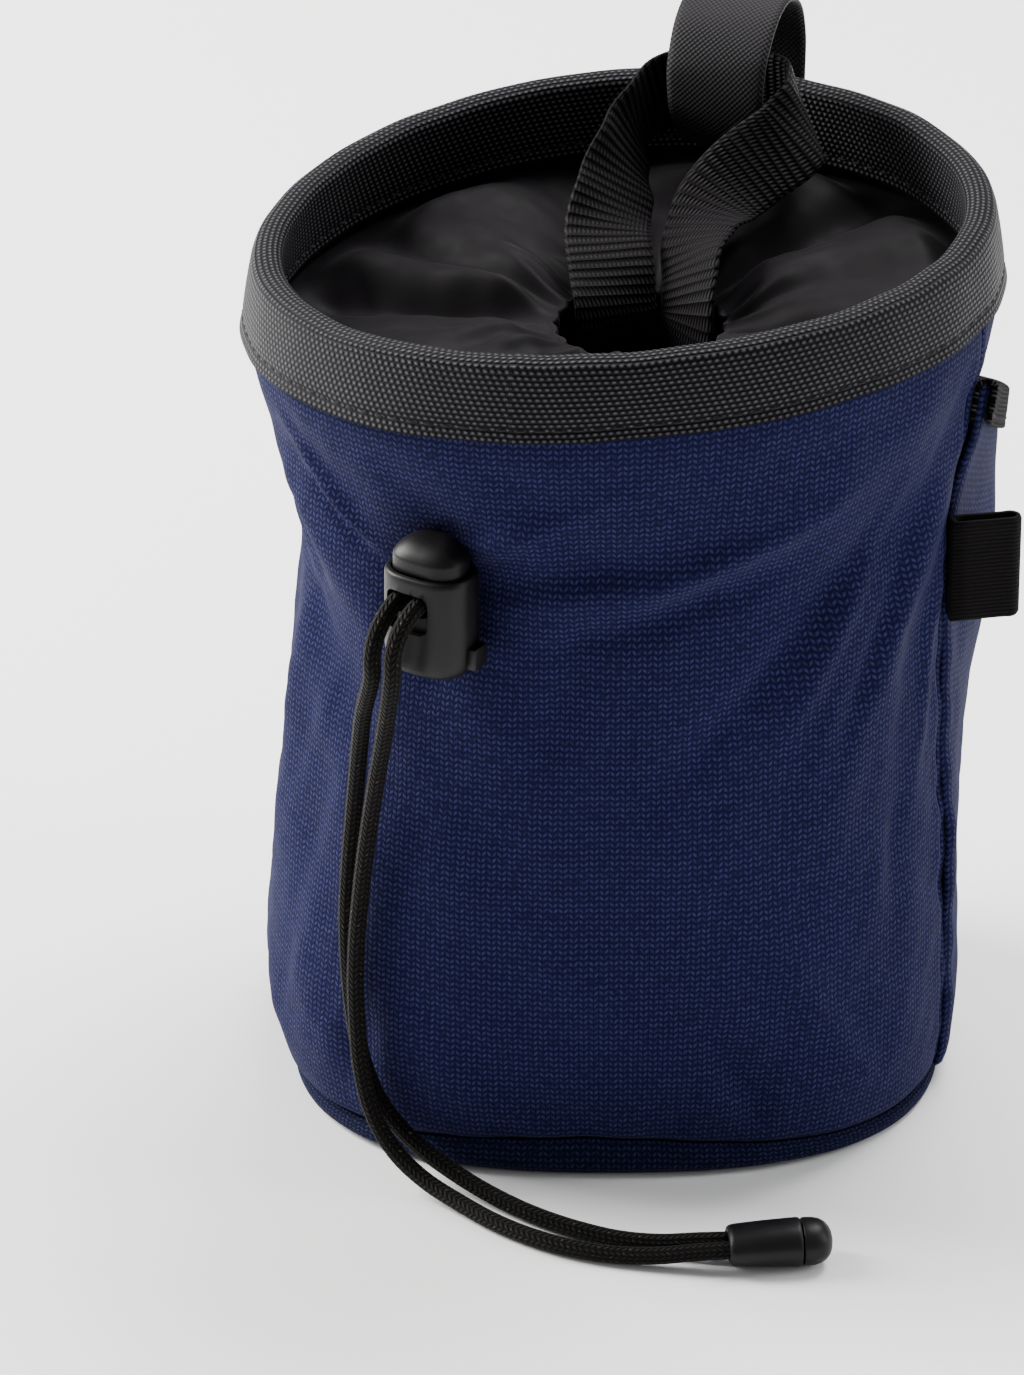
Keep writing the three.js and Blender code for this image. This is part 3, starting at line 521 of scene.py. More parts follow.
# Coarse basket webbing: rows across its width, each a line of short threads
def basket_webbing(name, ground, thread):
    g = Graph(name, 0.65, sheen=0.02, sheen_rough=0.4, specular=0.05)
    row = g.wave(g.v, 1.75)
    odd = g.do("FRACT", g.times(g.do("FLOOR", g.do("DIVIDE", g.v, 1.75)), 0.5))
    place = g.add(g.add(g.u, g.times(odd, 0.8)), g.times(g.v, 0.25))
    yarn = g.wave(place, 0.8)
    knot = g.times(g.do("POWER", row, 0.6), g.rise(yarn, 0.3, 0.7))
    g.color(g.blend(g.step(knot, 0.2, 0.95), ground, thread), scaled(thread, 0.6))
    g.bump(knot, 0.35)
    g.rough(g.rise(g.noise(1.5, 2.0), 0.45, 0.2))
    return g.material


# Fine even weave
def fine_weave(name, ground, thread, pitch, depth):
    g = Graph(name, 0.6, sheen=0.02, sheen_rough=0.35, specular=0.10)
    check = g.check(2 * pitch)
    wide = g.noise(0.08, 3.0)
    top = g.blend(wide, scaled(thread, 0.8), scaled(thread, 1.2))
    g.color(g.blend(g.step(check, 0.2, 0.8), ground, top), scaled(thread, 0.8))
    g.bump(check, depth)
    return g.material


# Thin collar cloth: a soft sheen, a very fine weave and small loose creases, with painted shade in the crease
# hollows and painted highlight on the crease ridges
def collar_fabric(name, dark, light):
    g = Graph(name, 0.5, sheen=0.03, sheen_rough=0.3, specular=0.07)
    check = g.check(0.7)
    crease_and_painted_shade = g.noise(0.12, 3.0, (0.5, 1.0))
    height = g.rise(check, crease_and_painted_shade, 0.06)
    # Colour follows the crease height: painted shade where the cloth dips, painted highlight where it rises
    g.color(g.blend(g.step(crease_and_painted_shade, 0.3, 0.7), dark, light), light)
    g.bump(height, 0.3, 0.5)
    g.rough(g.rise(g.noise(0.3, 3.0), 0.52, 0.2))
    return g.material


# Elastic band: fine ribs along the band and a fuzzy face
def elastic_band(name, dark, light):
    g = Graph(name, 0.85, sheen=0.02, sheen_rough=0.6, specular=0.08)
    rib = g.wave(g.u, 0.75)
    loops = g.noise(2.4, 2.0, (1.0, 0.5))
    height = g.add(g.times(rib, 0.6), g.times(loops, 0.6))
    g.color(g.blend(g.step(height, 0.3, 0.9), dark, light), light)
    g.bump(height, 0.16)
    return g.material


# Moulded plastic: nearly smooth, with a faint grain and fine wear
def moulded(name, color):
    g = Graph(name, 0.4, specular=0.19)
    grain = g.noise(3.0, 2.0, space="object")
    wear = g.noise(0.25, 4.0, space="object")
    g.color(g.blend(g.step(wear, 0.45, 0.75), color, scaled(color, 1.5)), color)
    g.rough(g.rise(wear, 0.35, 0.16))
    g.bump(grain, 0.02, 0.5)
    return g.material


# Round braid: slanted stitches that meet in V shapes, with a few light flecks
def braid(name, dark, light, fleck):
    g = Graph(name, 0.7, sheen=0.02, specular=0.08)
    strip = g.do("ABSOLUTE", g.do("SUBTRACT", g.do("FRACT", g.times(g.u, 5)), 0.5))
    stitch = g.wave(g.rise(strip, g.v, 1.9), 1.15)
    edge = g.wave(g.u, 0.1)
    height = g.times(g.do("POWER", stitch, 0.7), g.rise(edge, 0.2, 0.8))
    spots = g.step(g.noise(1.3, 1.0, (6, 1)), 0.64, 0.72)
    top = g.blend(spots, light, fleck)
    g.color(g.blend(g.step(height, 0.2, 0.85), dark, top), light)
    g.bump(height, 0.3)
    return g.material


NAVY = shell_cloth("navy_cloth", (0.0038, 0.0040, 0.024), (0.023, 0.026, 0.094))
BASE = shell_cloth("base_cloth", (0.0022, 0.0027, 0.014), (0.018, 0.022, 0.070))
# Charcoal webbing: the light bead colour holds painted highlight and the dark ground holds painted shade
CHARCOAL = beaded_webbing("charcoal_webbing", (0.0014, 0.0013, 0.0017), (0.062, 0.060, 0.072))
BELT = basket_webbing("belt_webbing", (0.0008, 0.0006, 0.0008), (0.0120, 0.0090, 0.0120))
LOOP = fine_weave("loop_webbing", (0.0040, 0.0036, 0.0042), (0.021, 0.019, 0.022), 0.5, 0.14)
# Pocket webbing: the same painted highlight on the beads and painted shade between them
EDGE = beaded_webbing("pocket_webbing", (0.0012, 0.0011, 0.0013), (0.040, 0.037, 0.042), row=0.85, along=1.1,
                      lean=0.3, depth=0.25, rough=0.75, specular=0.03)
# Collar colours: a shaded and a lit copy of the same cloth, mixed as painted shade and painted highlight over
# its creases
COLLAR = collar_fabric("collar_cloth", (0.0022, 0.0016, 0.0022), (0.0050, 0.0035, 0.0050))
ELASTIC = elastic_band("black_elastic", (0.0008, 0.0006, 0.0007), (0.0048, 0.0034, 0.0042))
PLASTIC = moulded("black_plastic", (0.0035, 0.0031, 0.0034))
CORD_BRAID = braid("black_cord", (0.0008, 0.0007, 0.0006), (0.010, 0.0075, 0.0065), (0.075, 0.052, 0.030))
THREAD = fine_weave("sewing_thread", (0.004, 0.004, 0.005), (0.028, 0.027, 0.031), 0.3, 0.05)


# Rows of stitches: short capsules laid along a line and sunk into the cloth
STITCH_SIDES = 8
STITCH_RINGS = 7


def stitches(name, path, normals, pitch=3.4, length=2.5, radius=0.24):
    travel = travel_along(path)
    count = int(travel[-1] / pitch)
    at = (np.arange(count) + 0.5) * travel[-1] / count

    def read(values, places):
        return np.stack([np.interp(places, travel, values[:, k]) for k in range(3)], -1)

    middle = read(path, at)
    normal = unit(read(normals, at))
    along = unit(read(path, at + 0.3) - read(path, at - 0.3))
    side = unit(np.cross(along, normal))
    turns = np.linspace(0, 2 * math.pi, STITCH_SIDES, endpoint=False)
    turn, place = np.meshgrid(turns, np.linspace(-1, 1, STITCH_RINGS), indexing="ij")
    thick = np.sqrt(np.clip(1 - place ** 4, 0.02, 1))
    lift = 0.1 - 0.35 * place ** 2
    parts = []
    for a, s, n, m in zip(along, side, normal, middle):
        parts.append(m + a * (place * length / 2)[..., None] + s * (thick * np.cos(turn) * radius)[..., None]
                     + n * (thick * np.sin(turn) * radius + lift)[..., None])
    points = np.array(parts)
    k, i, j = np.mgrid[0:count, 0:STITCH_SIDES, 0:STITCH_RINGS - 1]
    faces = []
    for a, b in ((0, 0), (0, 1), (1, 1), (1, 0)):
        first = (k * STITCH_SIDES + (i + a) % STITCH_SIDES) * STITCH_RINGS
        faces.append((first + j + b).ravel())
    faces = np.stack(faces, 1)
    uv = np.stack([np.tile([0.0, 0.3, 0.3, 0.0], len(faces)), np.tile([0, 0, 1, 1.0], len(faces))], -1)
    return mesh_object(name, points.reshape(-1, 3), faces.tolist(), uv, THREAD)


# Shell panels
def base_pucker(angle):
    """Small puckers along the base seam, strongest at the front."""
    return np.sin(arc(angle) / 2.6) * bell(wrap(angle - BASE_FACE), 48)


def cloth_relief(angle, up):
    """Soft unevenness of the shell, its turned-in side seams and the small puckers along them."""
    over = arc(angle)
    rise = up * rim_top(angle)
    calm = smooth(up, 0.02, 0.10) * (1 - smooth(up, 0.86, 0.91))
    relief = 0.45 * waves(over, rise, 11, 16, 38, 9) * calm + fold_depth(angle, up, CREASES) * calm
    relief = relief + 0.12 * waves(over, rise, 12, 6, 13, 9) * calm
    for seam in SEAMS:
        off = arc(np.abs(wrap(angle - seam)))
        relief = relief - 0.5 * bell(off, 0.8) + 0.3 * bell(off - 2.6, 1.6) * calm
        relief = relief + 0.16 * np.sin(rise / 1.75 + 1.3 * np.sin(rise / 9)) * bell(off - 2.5, 3.2) * calm
    return relief


def shell_panel(name, node, first, last):
    seam = math.degrees(GAP / 2 / RIM_RADIUS)
    columns = np.linspace(first + seam, last - seam, 241)
    angle, share = np.meshgrid(columns, np.linspace(0, 1, 190), indexing="ij")
    low = (seam_height(angle) + GAP) / rim_top(angle)
    high = 1 - (BINDING_WALL + GAP) / rim_top(angle)
    up = low + (high - low) * share
    radius = shell_radius(angle, up) + cloth_relief(angle, up)
    rise = (up - low) * BAG_HEIGHT
    radius = radius - 0.9 * bell(rise, 0.9) + 0.35 * base_pucker(angle) * bell(rise - 2.5, 3.0)
    points = around(angle, radius, up * rim_top(angle))
    uv = np.stack([arc(angle), up * BAG_HEIGHT], -1)
    piece = grid(name, points, uv, NAVY)
    thicken(piece, SHELL_WALL - 0.1)
    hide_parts(node)


def base_cup():
    angle = np.linspace(0, 360, 288, endpoint=False)
    lift = seam_height(angle)
    held = shell_radius(angle, lift / rim_top(angle))
    pucker = 0.25 * base_pucker(angle)
    rows = [(-58, 0.0), (-30, 0.0), (-10, 0.0), (-4, 0.0), (-2.0, 0.15), (-0.8, 0.8)]
    rings = [around(angle, np.maximum(2.0, held + inset), height) for inset, height in rows]
    for share in (0.3, 0.5, 0.7, 0.85, 0.95, 1.0):
        swell = 0.5 * math.sin(math.pi * share) - 0.5 * smooth(share, 0.8, 1.0)
        rings.append(around(angle, held + swell + pucker * share, lift * share))
    for inset, height in ((1.6, lift), (2.2, lift * 0.6), (5.6, 1.6), (30, 1.6), (58, 1.6)):
        rings.append(around(angle, np.maximum(2.0, held - inset), height))
    points = np.array(rings)
    travel = travel_along(points[:, 0])
    uv = pairs(travel, np.linspace(0, 2 * math.pi * 60, len(angle) + 1))[..., ::-1]
    piece = grid("base", points, uv, BASE, close_j=True, caps=True, flip=True)
    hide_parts("base_panel")


# Rim binding: webbing folded over the rim
STITCH_DROP = 12.7


def rim_binding():
    angle = np.linspace(0, 360, 480, endpoint=False)
    thick = 2 * BINDING_WALL + 3 * GAP + SHELL_WALL + COLLAR_WALL
    drops = (BINDING_DEPTH, 14.6, 13.8, 13.2, STITCH_DROP, 12.2, 11.4, 9.5, 7.5, 5.5, 3.8, 2.6)
    line = []
    for drop in drops:
        swell = 0.22 * math.sin(math.pi * min(1, drop / 14)) - 0.28 * bell(drop - STITCH_DROP, 0.6)
        line.append((-swell - (0.15 if drop == BINDING_DEPTH else 0), drop))
    for turn in np.linspace(0, 180, 13):
        a = math.radians(turn)
        line.append((thick / 2 - thick / 2 * math.cos(a), 1.9 - 1.9 * math.sin(a)))
    for drop in drops[::-1]:
        dip = 0.28 * bell(drop - STITCH_DROP, 0.6)
        line.append((thick + 0.12 * math.sin(math.pi * min(1, drop / 14)) - dip, drop))
    uneven = 0.35 * waves(angle * 1.15, 0, 21, 22, 60, 6)
    ripple = 0.18 * waves(angle * 1.15, 0, 22, 9, 18, 6)
    points = []
    for inset, drop in line:
        share = drop / BINDING_DEPTH
        radius = rim_edge(angle) + flare(angle, drop) - inset + ripple * share
        height = rim_top(angle) - drop + uneven * share * 0.8 + ripple * (1 - share)
        points.append(around(angle, radius, height))
    points = np.array(points)
    travel = travel_along(points[:, 0])
    uv = pairs(travel, np.linspace(0, 2 * math.pi * 65.8, len(angle) + 1))
    piece = grid("binding", points, uv, CHARCOAL, close_j=True, flip=True)
    thicken(piece, BINDING_WALL)
    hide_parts("rim_binding")
    ring = np.append(np.arange(len(angle)), 0)
    for name, k, side in (("binding_stitches_outer", 4, 1), ("binding_stitches_inner", len(line) - 5, -1)):
        path = points[k][ring]
        normal = around(angle, side, 0)[ring]
        sewn = stitches(name, path, normal)


# Collar: thin cloth from the rim in to the gathered hole, and the neck below
GATHERS = 19


def collar_rise(angle, share):
    height = 0
    for rim, hole, half, amount in COLLAR_FOLDS:
        middle = rim + (hole - rim) * share
        height = height + amount * bell(wrap(angle - middle), half)
    swell = smooth(share, 0.03, 0.25) * (1 - smooth(share, 0.75, 1))
    return (2.0 + height * RIM_RADIUS) * swell


def collar():
    angle = np.linspace(0, 360, 540, endpoint=False)
    outside = BINDING_WALL + GAP + SHELL_WALL + GAP
    radius = rim_edge(angle) - outside
    top = rim_top(angle)
    low = top - BINDING_DEPTH - LAYER_GAP - COLLAR_WALL
    rim = around(angle, radius + flare(angle, BINDING_DEPTH) - GAP, low)
    hole = around(angle, HOLE_RADIUS, HOLE_HEIGHT) + HOLE_MIDDLE
    rows = [around(angle, radius + flare(angle, drop), top - drop) for drop in (3, 9)]
    rows.append(around(angle, radius + flare(angle, BINDING_DEPTH), top - BINDING_DEPTH + GAP))
    rows.append(rim)
    turn = np.radians(angle)
    for share in np.linspace(0.03, 0.985, 60):
        point = rim + (hole - rim) * share
        lift = collar_rise(angle, share)
        gather = smooth(share, 0.45, 0.9) * (1 - 0.35 * smooth(share, 0.93, 1))
        drift = 1.7 * np.sin(turn * 4 + 5 * share)
        lift = lift + 0.5 * gather * np.sin(turn * GATHERS + drift)
        lift = lift + 0.3 * gather * np.sin(turn * 31 + 2.3 * np.sin(turn * 3 + 1))
        ease = smooth(share, 0.03, 0.2) * (1 - smooth(share, 0.85, 1))
        lift = lift + 0.4 * waves(point[:, 0], point[:, 1], 31, 12, 30, 10) * ease
        lift = lift + 0.14 * waves(point[:, 0], point[:, 1], 32, 5, 11, 10) * ease
        edge = np.sin(turn * GATHERS + 1.2) * smooth(share, 0.8, 1.0) * 0.25
        point = point + around(angle, edge, 0)
        point[:, 2] += lift
        rows.append(point)
    neck = [(-0.25, 0.2, 0.4), (0.6, 0.0, 0.4), (1.6, 0.0, 0.5), (4, 0.4, 0.5), (8, 1.2, 0.4), (12, 2.0, 0.4),
            (NECK_DEPTH, 2.5, 0.3)]
    for drop, out, wave_size in neck:
        crimp = wave_size * np.sin(turn * GATHERS + 1.2 + 0.1 * drop)
        rows.append(around(angle, HOLE_RADIUS + out + crimp, HOLE_HEIGHT - drop) + HOLE_MIDDLE)
    points = np.array(rows)
    travel = travel_along(points[:, 0])
    uv = pairs(travel, np.linspace(0, 2 * math.pi * 40, len(angle) + 1))
    piece = grid("collar_cloth", points, uv, COLLAR, close_j=True, flip=True)
    thicken(piece, COLLAR_WALL * 0.8)
    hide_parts("collar")


# Webbing along a smooth line, with a facing for each of its points
LOOP_WIDTH = 19.0
BELT_WIDTH = 15.5
WEBBING_WALL = 1.2
WEBBING_STEPS = 14


def webbing(name, points, faces, width, material, curl):
    line = catmull(points, WEBBING_STEPS)
    faces = np.array(faces, float)
    spans = len(points) - 1
    place = np.linspace(0, spans, len(line))
    k = np.minimum(spans - 1, place.astype(int))
    t = smooth(place - k, 0, 1)[:, None]
    face = faces[k] * (1 - t) + faces[k + 1] * t
    along = unit(np.gradient(line, axis=0))
    across = unit(np.cross(along, face))
    out = unit(np.cross(across, along))
    travel = travel_along(line)
    side = np.linspace(-1, 1, 17)
    thick = WEBBING_WALL / 2 * (1 - 0.55 * np.abs(side) ** 8)
    bow = curl * (side ** 2 - 0.3)
    upper = [(s, h + b) for s, h, b in zip(side, thick, bow)]
    lower = [(s, -h + b) for s, h, b in zip(side[::-1], thick[::-1], bow[::-1])]
    section = upper + lower
    mesh_points = np.stack([line + across * (s * width / 2) + out * h for s, h in section], 1)
    u = np.array([(s + 1) * width / 2 for s, _ in section] + [0])
    uv = pairs(travel, u)[..., ::-1]
    return grid(name, mesh_points, uv, material, close_j=True, caps=True)


# Hanging loop: across, out from the rim and above it as shares of the rim radius, and its roll
LOOP_ROUTE = [
    (0.076, 0.014, -0.36, 0), (0.076, 0.014, -0.17, 0), (0.076, 0.020, -0.02, 0), (0.076, 0.022, 0.11, 0),
    (0.076, -0.030, 0.22, 0), (0.076, -0.150, 0.28, 0), (0.076, -0.280, 0.25, 2), (0.076, -0.370, 0.15, 6),
    (0.078, -0.385, 0.03, 10), (0.082, -0.340, -0.08, 12), (0.086, -0.250, -0.145, 8),
    (0.088, -0.160, -0.165, 2), (0.088, -0.105, -0.190, 0),
]
# Waist belt: across, back and above the hole as shares of the rim radius, then the angle it faces
# and its tilt
BELT_ROUTE = [
    (-0.048, 0.112, -0.427, 38, 0), (-0.042, 0.098, -0.177, 38, 0), (-0.047, 0.090, -0.017, 38, 4),
    (-0.085, 0.165, 0.078, 24, 24), (-0.125, 0.260, 0.133, 20, 32), (-0.142, 0.390, 0.198, 44, 30),
    (-0.158, 0.540, 0.268, 74, 18), (-0.162, 0.660, 0.318, 98, 6), (-0.110, 0.750, 0.353, 60, 0),
    (0.000, 0.785, 0.368, 6, 0), (0.110, 0.785, 0.378, -6, 0), (0.235, 0.750, 0.383, -50, -4),
    (0.308, 0.665, 0.378, -96, -16), (0.306, 0.560, 0.343, -124, -34), (0.228, 0.470, 0.288, -155, -36),
    (0.160, 0.395, 0.223, -184, -30), (0.130, 0.275, 0.158, -203, -26), (0.140, 0.158, 0.078, -214, -14),
    (0.154, 0.092, -0.017, -218, -4), (0.154, 0.098, -0.177, -218, 0), (0.154, 0.108, -0.427, -218, 0),
]


def turned(vector, axis, degrees):
    a = math.radians(degrees)
    return (vector * math.cos(a) + np.cross(axis, vector) * math.sin(a)
            + axis * np.dot(axis, vector) * (1 - math.cos(a)))


def hang_loop():
    edge = rim_edge(180.0)
    top = rim_top(180.0)
    points = [np.array([across * RIM_RADIUS, edge + out * RIM_RADIUS, top + over * RIM_RADIUS])
              for across, out, over, _ in LOOP_ROUTE]
    faces = []
    for i in range(len(points)):
        along = unit(points[min(len(points) - 1, i + 1)] - points[max(0, i - 1)])
        across = turned(np.array([1.0, 0, 0]), along, LOOP_ROUTE[i][3])
        faces.append(np.cross(across, along))
    piece = webbing("hanging_loop", points, faces, LOOP_WIDTH, LOOP, 0.25)
    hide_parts("hang_loop")


def waist_belt():
    points = [np.array([a, b, u + HOLE_HEIGHT / RIM_RADIUS]) * RIM_RADIUS for a, b, u, _, _ in BELT_ROUTE]
    faces = []
    for _, _, _, angle, tilt in BELT_ROUTE:
        slope = math.radians(tilt)
        faces.append(around(angle, math.cos(slope), math.sin(slope)))
    piece = webbing("belt", points, faces, BELT_WIDTH, BELT, 0.2)
    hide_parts("waist_belt")


# Rear pocket and its bound edge
POCKET_END = 1.4
POCKET_DROP = 56
POCKET_RISE = 31
POCKET_GAPE = 9.5
POCKET_HELD = 0.34
POCKET_EASE = 36
POCKET_WALL = 1.2
EDGE_DEPTH = 7.5
EDGE_WALL = 1.0


def pocket_top(angle):
    return BAG_HEIGHT - POCKET_DROP + POCKET_RISE * ((angle - 180) / 90) ** 2


def pocket_stand(angle, share):
    end = 90 - np.abs(angle - 180)
    edge = (EDGE_WALL + GAP) * smooth(share, 0.82, 0.94)
    bulge = smooth(share, 0.3, 0.78) * (1 - POCKET_HELD * smooth(share, 0.78, 1))
    return LAYER_GAP + edge + POCKET_GAPE * smooth(end, 2, POCKET_EASE) * bulge


def pocket_place(angle, share, out):
    low = seam_height(angle) + GAP
    z = low + (pocket_top(angle) - low) * share
    return around(angle, shell_radius(angle, z / rim_top(angle)) + pocket_stand(angle, share) + out, z)


def rear_pocket():
    columns = np.linspace(90 + POCKET_END, 270 - POCKET_END, 201)
    angle, share = np.meshgrid(columns, np.linspace(0, 1, 130), indexing="ij")
    over = arc(angle)
    rise = share * 130
    calm = smooth(share, 0.03, 0.1) * (1 - smooth(share, 0.8, 0.9))
    relief = 0.4 * waves(over, rise, 41, 15, 36, 9) * calm + 0.12 * waves(over, rise, 42, 6, 12, 8) * calm
    end = arc(90 - POCKET_END - np.abs(angle - 180))
    relief = relief - 1.1 * bell(end, 1.0) + 0.12 * np.sin(rise / 1.75) * bell(end - 2.2, 2.6) * calm
    points = pocket_place(angle, share, POCKET_WALL + relief)
    uv = np.stack([over, rise], -1)
    piece = grid("pocket", points, uv, NAVY)
    thicken(piece, 1.1)
    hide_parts("rear_pocket")


def pocket_binding():
    angle = np.linspace(90 + POCKET_END, 270 - POCKET_END, 261)
    top = pocket_top(angle)
    down = EDGE_DEPTH / top
    face = POCKET_WALL + GAP + EDGE_WALL
    back = -GAP - EDGE_WALL
    rows = [(1 - down * k, face + 0.15 * math.sin(math.pi * k) - 0.18 * bell(k - 0.76, 0.07))
            for k in (1.0, 0.97, 0.9, 0.83, 0.76, 0.69, 0.6, 0.4, 0.2, 0.05)]
    middle = (face + back) / 2
    half = (face - back) / 2
    for turn in np.linspace(0, 180, 11):
        a = math.radians(turn)
        rows.append((1 + 1.3 / top * math.sin(a), middle + half * math.cos(a)))
    rows += [(1 - down * k, back - 0.1) for k in (0.05, 0.3, 0.6, 1.0)]
    points = np.array([pocket_place(angle, share, out) for share, out in rows])
    travel = travel_along(points[:, 100])
    uv = pairs(travel, np.radians(angle) * 68)
    piece = grid("pocket_edge", points, uv, EDGE, flip=True)
    thicken(piece, 0.9)
    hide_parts("pocket_binding")
    sewn = stitches("pocket_stitches", points[4], around(angle, 1.0, 0), pitch=3.0, length=2.1, radius=0.2)


# Elastic loop at the side seam
BRUSH_LOW = 98.0
BRUSH_HEIGHT = 19.5
BRUSH_REACH = 13.0
BRUSH_WALL = 1.0
BRUSH_SLIT = 2.0
BRUSH_SWEEP = 29
BRUSH_FORWARD = 1.8


def brush_outlines(inner, half):
    """Outline of the folded band seen from above, and of the slit in it."""
    bend = BRUSH_REACH - half
    outer = [(0.0, -half), (3.0, -half), (7.0, -half + 0.1), (bend - 1, -half + 0.1)]
    outer += [(bend + half * math.sin(a), -half * math.cos(a)) for a in np.linspace(0, math.pi, 15)]
    outer += [(bend - 1, half - 0.1), (7.0, half - 0.1), (3.0, half), (0.0, half)]
    hollow = [(inner, inner), (3.0, inner), (7.0, inner - 0.05), (bend - 1, inner)]
    hollow += [(bend + inner * math.sin(a), inner * math.cos(a)) for a in np.linspace(0, math.pi, 13)]
    hollow += [(bend - 1, -inner), (7.0, -inner), (3.0, -inner), (inner, -inner)]
    return outer, hollow


def brush_rows(outline, rise, drawn_in):
    """An outline at each height, a little wavy, and drawn in at the band's two edges."""
    bend = BRUSH_REACH - BRUSH_SLIT / 2 - BRUSH_WALL
    rows = []
    for z in BRUSH_LOW + rise:
        edge = min(z - BRUSH_LOW, BRUSH_LOW + BRUSH_HEIGHT - z)
        soft = drawn_in * max(0.0, 1 - edge / 0.6)
        ring = []
        for x, y in outline:
            wavy = 0.12 * math.sin(z * 0.9) * math.sin(math.pi * min(1, x / BRUSH_REACH))
            ring.append([x - (soft if x > bend else 0), y - math.copysign(soft, y) + wavy, z])
        rows.append(ring)
    return np.array(rows)


def brush_faces(rise, v, q):
    """Faces of the outside, the slit and the two ends, with v round the outside and q sides in the slit."""
    n = len(rise)
    m = len(v) - 1
    base = n * m
    faces = []
    loop_uvs = []
    for i in range(n - 1):
        for first, count, places in ((0, m, v), (base, q, range(q + 1))):
            low = first + i * count
            high = low + count
            for j in range(count):
                k = (j + 1) % count
                faces.append([low + j, low + k, high + k, high + j])
                corners = ((i, j), (i, j + 1), (i + 1, j + 1), (i + 1, j))
                loop_uvs += [[rise[row], places[side]] for row, side in corners]
    for i, below in ((0, True), (n - 1, False)):
        out_ids = [i * m + j for j in range(m)]
        in_ids = [base + i * q + j for j in range(q)][::-1]
        for j in range(m):
            k = (j + 1) % m
            near, far = [round(side * (q - 1) / (m - 1)) for side in (j, k)]
            cell = [out_ids[j], out_ids[k], in_ids[far]]
            if near != far:
                cell.append(in_ids[near])
            faces.append(cell[::-1] if below else cell)
            loop_uvs += [[0.2, j]] * len(cell)
    return faces, loop_uvs


def brush_loop():
    outer, hollow = brush_outlines(BRUSH_SLIT / 2, BRUSH_SLIT / 2 + BRUSH_WALL)
    rise = np.array([0, 0.15, 0.6, 1.5, 4, 7, 10, 13, 16, 18, 18.9, 19.35, BRUSH_HEIGHT])
    points = brush_rows(outer, rise, 0.22)
    inside = brush_rows(hollow, rise, 0.0)
    heights = np.linspace(BRUSH_LOW, BRUSH_LOW + BRUSH_HEIGHT, 5)
    root = shell_radius(90.0, heights / rim_top(90.0)).max() + LAYER_GAP + BRUSH_WALL
    verts = np.vstack([points.reshape(-1, 3), inside.reshape(-1, 3)])
    verts = swung(verts, BRUSH_SWEEP) + np.array([root, -BRUSH_FORWARD, 0])
    travel = travel_along(points[0])
    faces, loop_uvs = brush_faces(rise, np.append(travel, travel[-1] + 4), len(hollow))
    piece = mesh_object("elastic_loop", verts, faces, loop_uvs, ELASTIC)
    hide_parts("brush_loop")


# Cord lock
LOCK_ANGLE = -14.5
LOCK_LOW = 104.7
LOCK_HEIGHT = 19.5
LOCK_HALF_WIDE = 8.2
LOCK_HALF_DEEP = 6.5
LOCK_WALL = 1.1
LOCK_FLOOR = 4
BUTTON_PROUD = 2.8
BUTTON_TRAVEL = 2.5
BUTTON_PLAY = 0.3
CORD_HEIGHT = 119.3
WINDOW_LOW = LOCK_LOW + 9
WINDOW_SHIFT = -1.3
WINDOW_WIDE = 9.0
SLOT_WIDE = 8.4


def lock_out():
    def reach(low, high):
        return shell_radius(LOCK_ANGLE, np.linspace(low, high, 7) / rim_top(LOCK_ANGLE)).max()

    barrel = reach(LOCK_LOW, LOCK_LOW + LOCK_HEIGHT) + LOCK_HALF_DEEP
    button = reach(LOCK_LOW + LOCK_HEIGHT, LOCK_LOW + LOCK_HEIGHT + BUTTON_PROUD)
    return GAP + max(barrel, button + LOCK_HALF_DEEP - LOCK_WALL - BUTTON_PLAY)


def lock_ring(half_wide, half_deep, height, square=2.6, sides=96):
    a = np.linspace(0, 2 * math.pi, sides, endpoint=False)
    reach = (np.abs(np.sin(a)) ** square + np.abs(np.cos(a)) ** square) ** (-1 / square)
    return np.stack([half_wide * reach * np.cos(a), half_deep * reach * np.sin(a), height + 0 * a], -1)


def placed_lock(points):
    return swung(points, LOCK_ANGLE) + around(LOCK_ANGLE, lock_out(), 0)


def solid(name, rings, body=BAG, place=placed_lock):
    points = place(np.array(rings))
    n, m = points.shape[:2]
    uv = pairs(np.arange(n), np.arange(m + 1.0))
    return grid(name, points, uv, PLASTIC, close_j=True, caps=True, body=body, flip=True)


def window(name, wide, low, high, near, far):
    """A rounded opening that is cut through from front to back."""
    rings = []
    for depth in (near, far):
        ring = lock_ring(wide / 2, (high - low) / 2, 0, square=5.0, sides=48)
        middle = (low + high) / 2
        rings.append(np.stack([ring[:, 0] + WINDOW_SHIFT, depth + 0 * ring[:, 0], middle - ring[:, 1]], -1))
    return solid(name, rings)


def carve(piece, tools):
    for tool in tools:
        mod = piece.modifiers.new(tool.name, "BOOLEAN")
        mod.operation = "DIFFERENCE"
        mod.solver = "EXACT"
        mod.object = tool
    soften = piece.modifiers.new("edges", "BEVEL")
    soften.width = 0.22 * MM
    soften.segments = 2
    soften.limit_method = "ANGLE"
    soften.angle_limit = math.radians(38)
    bpy.context.view_layer.update()
    seen = piece.evaluated_get(bpy.context.evaluated_depsgraph_get())
    mesh = bpy.data.meshes.new_from_object(seen)
    piece.modifiers.clear()
    piece.data = mesh
    for tool in tools:
        bpy.data.objects.remove(tool)
    mesh.polygons.foreach_set("use_smooth", [True] * len(mesh.polygons))
    mesh.set_sharp_from_angle(angle=math.radians(40))


